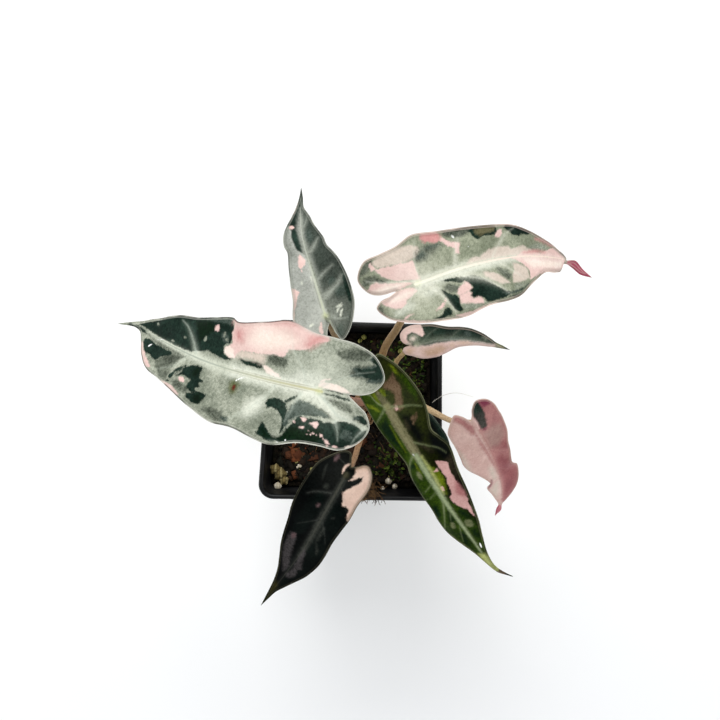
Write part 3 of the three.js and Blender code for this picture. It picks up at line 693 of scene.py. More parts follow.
rng = np.random.default_rng(12)
lying_ranges = [(-30, 28), (-26, 30), (0, math.tau), (4, 8.5), (0.3, 1.3)]
dragged_ranges = [(6, 12), (-41.5, -33), (-2.8, -0.4), (4, 8), (0.2, 1)]
lying = [[rng.uniform(*limits) for limits in lying_ranges] for _ in range(LYING_FIBRES)]
dragged = [[rng.uniform(*limits) for limits in dragged_ranges] for _ in range(DRAGGED_FIBRES)]
coir = finish("coir", {"Specular IOR Level": 0.2, "Roughness": 0.8}, paint_coir)
for name, fibres in [("coir_fibres", lying), ("coir_tuft", dragged)]:
    strands = grow(name, fibre_chains(name, fibres, rng), strand_tree(coir), Sides=5, Swell=0.00002)
    keep_piece(name, strands, None, "bark_soil")


# One stray fibre of coir, bleached white by the sun, springs from the right rim and arches out
# towards the pink leaf. It is as thin as a hair and tapers to its end.
stray = spline([(38.6, 4.2, 88.4), (40.6, 6, 91.5), (44, 8.2, 97), (49.4, 9.3, 104), (56.4, 7.5, 109)], 8)
chain = chain_mesh("stray_fibre", stray, {"thick": np.linspace(0.16, 0.07, len(stray)) * MM})


def paint_bleached(start):
    return {"Base Color": start.place().noise(2, 2).blend(tone(196, 190, 180), tone(226, 222, 214))}


bleached = finish("bleached_fibre", {"Specular IOR Level": 0.2, "Roughness": 0.7}, paint_bleached)
strand = grow("stray_fibre", chain, strand_tree(bleached), Sides=6, Swell=0.0)
keep_piece("stray_fibre", strand, None, "bark_soil")


# The corm is the short woody stump that every stalk grows from, a brown barrel ringed by the
# scars of old leaves. Most of it is buried, and its shoulders stand just out of the soil.
CORM_TOP = 82
CORM_BOTTOM = 55
CORM_SIDES = 72
SCAR_DEPTH = 0.28
KNOB_HEIGHT = 0.25


def corm_mesh():
    outline = spline([
        (0.1, CORM_BOTTOM), (6, CORM_BOTTOM + 1.5), (CORM_RADIUS - 0.8, CORM_BOTTOM + 7),
        (CORM_RADIUS, CORM_BOTTOM + 15), (CORM_RADIUS - 0.3, CORM_TOP - 6),
        (CORM_RADIUS - 2.3, CORM_TOP - 2), (4, CORM_TOP - 0.4), (0.1, CORM_TOP)], 12)
    angles = full_turn(CORM_SIDES)
    rings = []
    for radius, z in outline:
        scars = SCAR_DEPTH * abs(math.sin(z * 1.15)) ** 0.5
        knobs = KNOB_HEIGHT * np.sin(5 * angles + z) * np.sin(z / 2.3 + 3 * angles)
        around = radius * (1 - (scars - knobs) / (CORM_RADIUS + 2))
        rings.append(ring_at(CROWN, around, z, CORM_SIDES))
    return mesh_of("corm_stump", *loft(rings, (*CROWN, CORM_BOTTOM), (*CROWN, CORM_TOP)))


def paint_corm(start):
    spot = start.place()
    around = spot.noise(2.4, 5, 0.65)
    colour = around.step(0.35, 0.65).blend(tone(62, 42, 28), tone(140, 108, 72))
    rings = spot.maths("SINE", spot.part("Z") * 2.3 + around * 3)
    colour = (rings * 0.5).blend(colour, tone(38, 26, 18))
    return {"Base Color": colour, "Roughness": 0.6 + 0.3 * around,
            "Normal": start.bump(around + 0.3 * rings, 0.4)}


keep_piece("corm_stump", corm_mesh(), finish("corm_skin", {}, paint_corm), "corm", "corm")


# Each leaf stands on its own stalk, a round juicy petiole that thins upwards from its socket in
# the corm. A dry brown sheath still wraps its foot, open on the side that faces the crown.
STALK_RING = 7
SOCKET_FLOOR = 77.5
BLADE_THICKNESS = 0.8
RIB_DEPTH = 1.5
STALK_NECK = 4
STALK_STEPS = 90
SHEATH_THICKNESS = 0.35
SHEATH_ROWS = 26
SHEATH_COLUMNS = 25
SHEATH_WRAP = 158


def stalk_finish(name, foot, middle, head):
    """Stalk skin that changes from foot to head, streaked along its length."""
    def paint(start):
        spot = start.place()
        drawn = spot.stretched(1, 1, 0.08)
        streaks = drawn.noise(0.55, 3)
        along = start.measure("along") + 0.12 * spot.noise(7, 3)
        colour = along.ramp([(0.0, tone(*foot)), (0.45, tone(*middle)), (1.0, tone(*head))])
        shade = streaks.ramp([(0.3, tone(150, 140, 132)), (0.65, tone(255, 255, 255))])
        colour = start.node("ShaderNodeMix", {"data_type": "RGBA", "blend_type": "MULTIPLY"},
                            {0: 0.7, 6: colour, 7: shade}, 2)
        flecks = drawn.noise(0.9, 2, seed=3).step(0.66, 0.74)
        colour = (flecks * 0.5).blend(colour, tone(88, 58, 48))
        return {"Base Color": colour, "Roughness": 0.34 + 0.2 * streaks,
                "Normal": start.bump(streaks, 0.12)}
    return finish(name, {"Specular IOR Level": 0.2}, paint)


def paint_sheath(start):
    fibres = start.place().stretched(1, 1, 0.1).noise(0.5, 4)
    colour = fibres.step(0.35, 0.65).blend(tone(74, 48, 32), tone(176, 142, 102))
    return {"Base Color": colour, "Roughness": 0.5 + 0.3 * fibres, "Normal": start.bump(fibres, 0.2)}


sheath_skin = finish("sheath_skin", {}, paint_sheath)


class Path:
    """A smooth line in space that gives a point and a direction at any distance along it."""

    def __init__(self, points, per_span=40):
        self.points = spline(points, per_span)
        steps = np.linalg.norm(np.diff(self.points, axis=0), axis=1)
        self.run = np.concatenate([[0], np.cumsum(steps)])
        self.length = self.run[-1]
        forward = np.gradient(self.points, self.run, axis=0)
        self.forward = forward / np.linalg.norm(forward, axis=1)[:, None]

    def at(self, x):
        """Points and directions, carried straight on past either end."""
        x = np.asarray(x, float)
        held = np.clip(x, 0, self.length)
        spot = np.stack([np.interp(held, self.run, self.points[:, k]) for k in range(3)], -1)
        forward = np.stack([np.interp(held, self.run, self.forward[:, k]) for k in range(3)], -1)
        forward /= np.linalg.norm(forward, axis=-1)[..., None]
        return spot + (x - held)[..., None] * forward, forward


def stalk_chain(name, path, radii):
    """The stalk's centre line as a chain of points that know how thick the stalk is there."""
    share = np.linspace(0, 1, STALK_STEPS)
    spots, _ = path.at(share * path.length)
    thick = radii[0] + (radii[1] - radii[0]) * share ** 0.8
    thick = thick + 0.5 * np.clip(1 - (1 - share) * path.length / 2.5, 0, 1) ** 2
    return chain_mesh(name, spots, {"thick": thick * MM, "along": share})


def sheath_mesh(name, path, radii, height):
    """A thin wrap round the foot of a stalk, widest at the soil and drawn out to a point above."""
    foot, _ = path.at(0)
    away = np.array([*(foot[:2] - CROWN), 0])
    away = away / np.linalg.norm(away)
    shares, turns = np.linspace(0, 1, SHEATH_ROWS), np.linspace(-1, 1, SHEATH_COLUMNS)
    outer, inner = [], []
    for share in shares:
        centre, forward = path.at(share * height)
        out = away - (away @ forward) * forward
        out /= np.linalg.norm(out)
        side = np.cross(forward, out)
        reach = radii[0] + 0.5 + 1.3 * (1 - share) ** 2 + 0.5 * share ** 3
        angles = turns * (math.radians(SHEATH_WRAP) * (1 - share ** 2.2) + 0.12)
        spread = reach + 0.5 * turns ** 4 + 0.15 * np.sin(7 * angles + 5 * share)
        arm = np.outer(np.cos(angles), out) + np.outer(np.sin(angles), side)
        outer.append(centre + arm * spread[:, None])
        inner.append(centre + arm * (spread - SHEATH_THICKNESS)[:, None])
    points = np.vstack(outer + inner)
    skin = SHEATH_ROWS * SHEATH_COLUMNS
    grid = np.arange(skin).reshape(SHEATH_ROWS, SHEATH_COLUMNS)
    quads = grid_faces(grid)
    border = [*grid[0], *grid[1:, -1], *grid[-1, ::-1][1:], *grid[::-1, 0][1:-1]]
    faces = [tuple(q) for q in quads] + [tuple(q[::-1] + skin) for q in quads]
    for a, b in zip(border, border[1:] + border[:1]):
        faces.append((b, a, a + skin, b + skin))
    return mesh_of(name, points, faces, 60)


# Each blade is a thick satiny arrow-shaped sheet, grown flat and then bent: it rises or falls to
# either side of a stout midrib, waves at its margin, and ends in a long drip tip.
LOBE_SPANS = 7
LOBE_RIB_SHARE = 0.72
LOBE_SAG_RUN = 10
QUILTING = 0.22
DIMPLES = 0.1
VEIN_SINK = 0.16
RIB_LIFT = 0.25
RIB_GROOVE = 0.12
HEM_SINK = 0.28
HEM_THICKNESS = 0.34
UNDERVEIN_DEPTH = 0.35


class BladeForm:
    """Bends the flat drawing of a blade into space: x runs along the midrib, y to its left."""

    def __init__(self, midrib, fold, curl, half_width):
        self.path = Path(midrib)
        self.fold, self.curl, self.half_width = fold, curl, half_width

    def frame_at(self, x):
        spot, forward = self.path.at(x)
        sideways = np.cross((0, 0, 1), forward)
        sideways /= np.linalg.norm(sideways, axis=-1)[..., None]
        return spot, forward, sideways, np.cross(forward, sideways)

    def place(self, flat, rise):
        x, y = flat[:, 0], flat[:, 1]
        spot, _, sideways, normal = self.frame_at(x)
        fold = np.radians(np.where(y > 0, *self.fold))
        bend = np.radians(np.where(y > 0, *self.curl)) / self.half_width
        edge = fold - bend * np.abs(y)
        reach = (np.sin(fold) - np.sin(edge)) / bend
        lift = (np.cos(edge) - np.cos(fold)) / bend
        drop = (np.minimum(x, 0) / LOBE_SAG_RUN) ** 2
        return spot + (np.sign(y) * reach)[:, None] * sideways + (lift + rise - drop)[:, None] * normal


class Sheet:
    """The flat grid of a blade: both halves fan out from the midrib and the lobe ribs to the edge."""

    def __init__(self, form, left, right, fineness, rows):
        length = form.path.length
        spans = len(left)
        rib_spans = spans - LOBE_SPANS
        stations = (np.array(left)[:, 0] + np.array(right)[:, 0]) / 2
        attach = stations[rib_spans - 1]
        feet = np.concatenate([[length], length * (stations[:rib_spans] - attach) / (length - attach)])
        steps = np.linspace(0, spans, spans * fineness + 1)
        beyond = steps - rib_spans
        reach = np.clip(np.minimum(np.minimum(beyond, LOBE_SPANS - beyond), 3) / 3, 0, 1)
        along = np.interp(steps, np.arange(rib_spans + 1), feet)
        share = np.linspace(0, 1, rows + 1)
        edges, flats, rises, quads = [], [], [], []
        for drawn in (left, right):
            edge = spline([(length, 0, 0), *drawn], fineness)
            lobe_end = edge[round((rib_spans + 3.5) * fineness)][:2]
            edges.append(edge)
            foot = np.stack([along, np.zeros_like(along)], -1)
            foot[beyond > 0] = reach[beyond > 0, None] * lobe_end * LOBE_RIB_SHARE
            flat = foot[:, None] + (edge[:, None, :2] - foot[:, None]) * share[None, :, None]
            first = sum(len(f) for f in flats)
            grid = first + np.arange(len(steps) * (rows + 1)).reshape(len(steps), rows + 1)
            quad = grid_faces(grid)
            quads.append(quad if drawn is left else quad[:, ::-1])
            flats.append(flat.reshape(-1, 2))
            rises.append((edge[:, 2:3] * share[None] ** 2).ravel())
        flat = np.vstack(flats)
        _, kept, welded = np.unique(np.round(flat, 3), axis=0, return_index=True, return_inverse=True)
        self.flat = flat[kept]
        self.rise = np.concatenate(rises)[kept]
        quads = welded.ravel()[np.vstack(quads)]
        faces = [tuple(dict.fromkeys(quad)) for quad in quads.tolist()]
        self.faces = [face for face in faces if len(face) > 2]
        self.outline = np.vstack([edges[0][:, :2], edges[1][::-1, :2][1:-1]])


def points_normals(points, faces):
    """The mean direction that the faces round each point look in."""
    normals = np.zeros_like(points)
    for size in (3, 4):
        group = np.array([face for face in faces if len(face) == size])
        if len(group):
            facing = np.cross(
                points[group[:, 2]] - points[group[:, 0]], points[group[:, -1]] - points[group[:, 1]])
            for k in range(size):
                np.add.at(normals, group[:, k], facing)
    return normals / np.maximum(np.linalg.norm(normals, axis=1), 1e-12)[:, None]


def vein_profile(flat, veins):
    """How strongly each flat point lies on a vein and in the pale glow beside it, and how far off."""
    strength, glow, nearest = np.zeros(len(flat)), np.zeros(len(flat)), np.full(len(flat), 50.0)
    for boldness, *drawn in veins:
        line = spline(drawn, 6)
        for i, (a, b) in enumerate(zip(line, line[1:])):
            run = b - a
            share = np.clip(((flat - a) @ run) / (run @ run), 0, 1)
            gap = np.hypot(*(flat - a - share[:, None] * run).T)
            taper = 1 - 0.7 * (i + share) / (len(line) - 1)
            width = 0.22 + 0.3 * taper * boldness
            presence = min(1, 0.3 + boldness * 0.7)
            strength = np.maximum(strength, np.exp(-(gap / width) ** 2) * (0.3 + 0.7 * taper) * presence)
            glow = np.maximum(glow, np.exp(-(gap / (0.7 + 1.6 * taper * boldness)) ** 2) * taper * presence)
            nearest = np.minimum(nearest, gap)
    return strength, glow, nearest


def grain_of(flat):
    """Each point's place across and along the run of the fine veins, which fan into the lobes."""
    x, y = flat[:, 0], np.abs(flat[:, 1])
    lean, fan = 0.7, 10
    ahead = x > lean * y
    turn = np.arctan2(1, lean) - np.arctan2(y, x)
    across = np.where(ahead, x - lean * y, fan * turn)
    along = np.where(ahead, y * math.hypot(1, lean), np.hypot(x, y))
    return np.column_stack([across, along, np.where(flat[:, 1] > 0, 0, 40)])


def blade_mesh(name, form, sheet, veins, markings, rib_width):
    """Gives a blade its thickness, ribs and veins, and stores what its colours need at each point."""
    flat = sheet.flat
    length = form.path.length
    strength, glow, off_vein = vein_profile(flat, veins)
    edge = signed_distance(flat, sheet.outline).clip(0)
    off_rib = np.where(flat[:, 0] > -1, np.abs(flat[:, 1]), np.hypot(flat[:, 0] + 1, flat[:, 1]))
    taper = np.clip(1 - flat[:, 0] / length, 0, 1) ** 0.7
    rib = np.exp(-(off_rib / (rib_width * (0.25 + 0.75 * taper))) ** 2)
    swell = QUILTING * (1 - np.exp(-(off_vein / 2.5) ** 2)) * np.clip(edge / 3, 0, 1)
    dimple = DIMPLES * np.sin(flat[:, 0] * 0.52 + 1.3) * np.sin(flat[:, 1] * 0.61 + flat[:, 0] * 0.2)
    relief = swell + dimple * np.clip(edge / 4, 0, 1) - VEIN_SINK * strength * (1 - rib)
    relief += RIB_LIFT * rib - RIB_GROOVE * np.exp(-(off_rib / 0.45) ** 2) * taper
    relief -= HEM_SINK * np.clip(1 - edge / 1.3, 0, 1) ** 2
    base = form.place(flat, sheet.rise)
    normals = points_normals(base, sheet.faces)
    top = base + normals * relief[:, None]
    thin = HEM_THICKNESS + (1 - HEM_THICKNESS) * np.clip(edge / 1.8, 0, 1)
    lobe_rib = strength * np.clip(-flat[:, 0] / 3, 0, 1)
    under_rib = RIB_DEPTH * (1 - 0.8 * np.clip(flat[:, 0] / length, 0, 1)) * np.exp(-(off_rib / 1.5) ** 2)
    depth = BLADE_THICKNESS * thin + np.maximum(under_rib, 0.9 * lobe_rib)
    depth = depth + UNDERVEIN_DEPTH * strength * (1 - rib)
    under = base - normals * np.maximum(depth, 0.2)[:, None]
    count = len(flat)
    runs = {}
    for face in sheet.faces:
        for a, b in zip(face, face[1:] + face[:1]):
            runs[(a, b)] = runs.get((a, b), 0) + 1
    rim = [(a, b) for a, b in runs if (b, a) not in runs]
    faces = sheet.faces + [tuple(i + count for i in reversed(face)) for face in sheet.faces]
    faces += [(b, a, a + count, b + count) for a, b in rim]
    mesh = mesh_of(name, np.vstack([top, under]), faces)
    beside_rib = np.exp(-(off_rib / (0.8 + 1.8 * taper)) ** 2) * (0.6 + 0.4 * taper)
    glow = np.maximum(glow, beside_rib * np.clip(4 * (0.92 - flat[:, 0] / length), 0, 1))
    glow = np.maximum(glow, 0.7 * np.exp(-(np.hypot(*flat.T) / (0.14 * length)) ** 2))
    measures = {"vein": strength, "glow": glow, "edge": edge, "off_rib": off_rib,
                "forward": flat[:, 0] / length, "flat": np.column_stack([flat, np.zeros(count)]),
                "grain": grain_of(flat)}
    for k, (_, _, _, outlines) in enumerate(markings):
        depths = [signed_distance(flat, np.array(outline, float)) for outline in outlines]
        measures[f"marking_{k}"] = np.max(depths, axis=0).clip(-6, 6)
    both = {name: np.concatenate([values, values]) for name, values in measures.items()}
    store(mesh, both | {"under": np.repeat([0.0, 1.0], count)})
    return mesh


# darker and lighter tone of each tissue, and how rough its surface is; glint is no tissue but painted
# highlight
PIGMENTS = {
    "deep": ((8, 26, 19), (40, 62, 52), 0.42), "slate": ((46, 58, 52), (94, 106, 98), 0.42),
    "forest": ((2, 18, 6), (14, 40, 18), 0.4), "black": ((1, 2, 2), (8, 12, 12), 0.42),
    "night": ((4, 8, 7), (16, 24, 21), 0.42), "smoke": ((34, 37, 34), (62, 64, 59), 0.42),
    "ash": ((48, 45, 46), (80, 76, 77), 0.45), "umber": ((30, 25, 18), (60, 53, 40), 0.42),
    "sage": ((112, 119, 104), (192, 195, 178), 0.5), "lichen": ((116, 123, 102), (176, 180, 158), 0.5),
    "grey": ((60, 66, 57), (136, 142, 126), 0.48), "silver": ((190, 194, 180), (226, 228, 214), 0.48),
    "pearl": ((146, 149, 142), (184, 186, 179), 0.46), "dove": ((122, 126, 119), (156, 158, 151), 0.46),
    "moss": ((88, 94, 64), (126, 130, 94), 0.45), "khaki": ((82, 80, 56), (128, 122, 92), 0.45),
    "cream": ((230, 212, 200), (242, 230, 221), 0.48), "blush": ((214, 182, 175), (234, 208, 201), 0.48),
    "rose": ((188, 130, 128), (214, 162, 156), 0.46), "salmon": ((184, 140, 136), (214, 174, 168), 0.46),
    "taupe": ((196, 182, 168), (220, 207, 195), 0.48), "sand": ((196, 160, 138), (222, 192, 172), 0.48),
    "shell": ((208, 176, 160), (228, 202, 187), 0.48), "rose_grey": ((84, 66, 68), (112, 90, 92), 0.45),
    "magenta": ((172, 70, 94), (208, 114, 132), 0.45), "wine": ((108, 44, 64), (150, 80, 94), 0.45),
    "dusk": ((152, 98, 98), (184, 132, 128), 0.45), "dusk_deep": ((136, 78, 82), (164, 104, 104), 0.45),
    "petal": ((196, 158, 150), (222, 192, 184), 0.46),
    "petal_grey": ((150, 116, 110), (178, 144, 136), 0.45),
    "dusk_green": ((40, 48, 42), (80, 88, 80), 0.42), "olive": ((12, 15, 1), (40, 46, 5), 0.38),
    "grass": ((18, 36, 2), (58, 82, 12), 0.4), "leaf_gold": ((66, 80, 6), (108, 122, 26), 0.4),
    "lime": ((150, 158, 84), (198, 202, 134), 0.45), "pale_rib": ((112, 124, 92), (150, 162, 126), 0.42),
    "tan_brown": ((84, 64, 48), (120, 98, 78), 0.46), "gold": ((30, 32, 10), (60, 54, 24), 0.42),
    "rust": ((84, 34, 24), (124, 58, 38), 0.45), "glint": ((244, 246, 244), (255, 255, 255), 0.3),
}


# how little of the painted shade in the fine quilting shows on these tissues
SMOOTHNESS = {
    "cream": 1, "blush": 1, "shell": 1, "rose": 1, "salmon": 1, "sand": 1, "magenta": 1, "petal": 1,
    "petal_grey": 1, "dusk": 1, "dusk_deep": 1, "taupe": 0.9, "wine": 1, "rose_grey": 1, "silver": 0.75,
    "sage": 0.5, "lichen": 0.6, "pearl": 0.6,
}


# what a blade's veins, midrib and margin look like where its own leaf doesn't say otherwise
LOOK = {
    "glow": (214, 219, 203), "glow_share": 0.65, "halo_share": 0.45, "vein": (204, 212, 202),
    "vein_share": 0.55, "rib_width": 1.2, "rib_foot": (226, 226, 184), "rib_tip": (210, 216, 202),
    "rib_share": 0.55, "flank": (134, 126, 92), "flank_share": 0.5, "knot": (206, 212, 138),
    "knot_share": 0.3, "margin": (92, 96, 88), "margin_line": (200, 200, 190), "painted_edge_shade": 0.5,
    "hem_share": 0.8, "sheen": 0.06,
}


def blade_finish(name, ground, markings, look):
    """A blade's skin: pigments laid over the ground one by one, then glow, veins, painted shade in the
    fine quilting, midrib, painted shade inside the margin, and the margin.
    """
    def paint(start):
        flat, streaks = start.measure("flat", "Vector"), start.measure("grain", "Vector")
        streaks = streaks.stretched(1, 0.3, 1).noise(0.5, 3, 0.6)
        under, edge, off_rib, vein, forward, near_vein = [
            start.measure(kept) for kept in ("under", "edge", "off_rib", "vein", "forward", "glow")]
        specks = flat.noise(0.36, 2, 0.6)
        blotches = flat.noise(2.2, 4, 0.6, seed=9)
        clouds = flat.noise(8, 3, 0.5, seed=2)
        pores = flat.noise(0.9, 4, 0.75, seed=6)
        mottle = 0.5 * streaks + 0.3 * specks + 0.55 * pores + 0.4 * blotches + 0.65 * clouds
        mottle = (mottle + 0.25 * near_vein).step(0.98, 1.62)
        ragged = flat.noise(1.5, 6, 0.78, seed=5) - 0.5
        dark, light, rough = PIGMENTS[ground]
        colour = mottle.blend(tone(*dark), tone(*light))
        glow = near_vein * (0.7 + 0.6 * pores)
        colour = (glow * look["glow_share"]).blend(colour, tone(*look["glow"]))
        roughness = mottle * 0.06 + rough
        smooth = start.maths("ADD", SMOOTHNESS.get(ground, 0.0), 0.0)
        for k, (pigment, softness, jag, _) in enumerate(markings):
            dark, light, rough = PIGMENTS[pigment]
            reach = start.measure(f"marking_{k}") + ragged * (3 * jag)
            mask = reach.step(-softness, softness)
            colour = mask.blend(colour, mottle.blend(tone(*dark), tone(*light)))
            roughness = roughness + mask * (rough - roughness)
            smooth = smooth + mask * (SMOOTHNESS.get(pigment, 0.0) - smooth)
        colour = (glow * glow * look["halo_share"]).blend(colour, tone(*look["glow"]))
        colour = (vein * look["vein_share"] * (0.5 + pores)).blend(colour, tone(*look["vein"]))
        # painted shade: the dips of the fine quilting's bump are darkened, less on the smooth tissues
        painted_pore_shade = pores.step(0.54, 0.34) * (0.5 - 0.42 * smooth)
        colour = painted_pore_shade.blend(colour, tone(168, 170, 160), "MULTIPLY")
        width = (1 - forward) * look["rib_width"] * 0.3 + 0.1
        flank = start.maths("ABSOLUTE", off_rib - width * 2.2).step(0.4, 0) * forward.step(0, 0.08)
        colour = (flank * forward.step(0.5, 0.1) * look["flank_share"]).blend(colour, tone(*look["flank"]))
        rib_colour = forward.step(0, 0.45).blend(tone(*look["rib_foot"]), tone(*look["rib_tip"]))
        rib = (off_rib / width).step(1.7, 0.5) * forward.step(0.95, 0.7)
        colour = (rib * look["rib_share"]).blend(colour, rib_colour)
        # painted shade: a band inside the margin is darkened where the edge rolls down
        painted_edge_band = edge.step(2.1, 0.8)
        colour = (painted_edge_band * look["painted_edge_shade"]).blend(colour, tone(168, 172, 166), "MULTIPLY")
        line = start.maths("ABSOLUTE", edge - 0.85).step(0.3, 0.05)
        colour = (line * 0.3).blend(colour, tone(*look["margin_line"]))
        pale_hem = forward.step(0.3, -0.1) * 0.3 + flat.noise(14, 2, seed=7)
        hem = pale_hem.step(0.46, 0.58).blend(tone(*look["margin"]), tone(*look["margin_line"]))
        colour = (edge.step(0.6, 0.3) * forward.step(0.9, 0.72) * look["hem_share"]).blend(colour, hem)
        knot = flat.node("ShaderNodeVectorMath", {"operation": "LENGTH"}, {0: flat}, "Value").step(2.4, 0.4)
        colour = (knot * look["knot_share"]).blend(colour, tone(*look["knot"]))
        pale = (under * 0.6).blend(colour, tone(152, 160, 136))
        colour = (under * vein * 0.6).blend(pale, tone(196, 200, 172))
        height = 0.5 * pores + 0.4 * streaks + 0.6 * blotches
        return {"Base Color": colour, "Roughness": roughness + 0.1 * specks + 0.12 * under - 0.05,
                "Normal": start.bump(height, 0.09)}
    return finish(name, {"Specular IOR Level": look["sheen"]}, paint)


def grow_leaf(name, slot, midrib, fold, curl, half_width, left, right, base, stalk, stalk_radius,
              stalk_skin, ground, markings, veins, look, sheath=22, fineness=12, rows=34):
    """One whole leaf: its stalk, the dry sheath round the stalk's foot, and its blade."""
    form = BladeForm(midrib, fold, curl, half_width)
    sheet = Sheet(form, left, right, fineness, rows)
    angle = math.radians(base or 0)
    ring = 0 if base is None else STALK_RING
    foot = (CROWN[0] + ring * math.cos(angle), CROWN[1] + ring * math.sin(angle), SOCKET_FLOOR)
    spot, _, _, normal = form.frame_at(np.array([0.0]))
    under = BLADE_THICKNESS + RIB_DEPTH
    head = spot[0] - normal[0] * (under - 0.3)
    neck = spot[0] - normal[0] * (under + FIT_GAP + STALK_NECK)
    path = Path([foot, *stalk, neck, head])
    skin = stalk_finish(f"stalk_skin_{name}", *stalk_skin)
    chain = stalk_chain(f"chain_{name}", path, stalk_radius)
    petiole = grow(f"chain_{name}", chain, strand_tree(skin))
    keep_piece(f"petiole_{name}", petiole, None, "stalk", f"stalk_{name}")
    if base is not None:
        wrap = sheath_mesh(f"sheath_{name}", path, stalk_radius, sheath)
        keep_piece(f"sheath_{name}", wrap, sheath_skin, "corm")
    look = LOOK | look
    mesh = blade_mesh(f"leaf_{name}", form, sheet, veins, markings, look["rib_width"])
    blade_skin = blade_finish(f"blade_skin_{name}", ground, markings, look)
    keep_piece(f"leaf_{name}", mesh, blade_skin, slot, f"blade_{name}")


def dab(x, y, width, height=None, turn=0):
    """A small oval spot: its middle, its full width and height, and its turn in degrees."""
    angles = full_turn(14)
    a, b = width / 2 * np.cos(angles), (height or width) / 2 * np.sin(angles)
    c, s = math.cos(math.radians(turn)), math.sin(math.radians(turn))
    return np.column_stack([x + a * c - b * s, y + a * s + b * c])


def stroke(width, *points):
    """A tapering streak of pigment along a few points."""
    line = spline(points, 5)
    run = np.gradient(line, axis=0)
    side = np.column_stack([-run[:, 1], run[:, 0]]) / np.linalg.norm(run, axis=1)[:, None]
    half = width / 2 * np.sin(np.linspace(0.25, math.pi - 0.25, len(line)))[:, None]
    return np.vstack([line + side * half, (line - side * half)[::-1]])


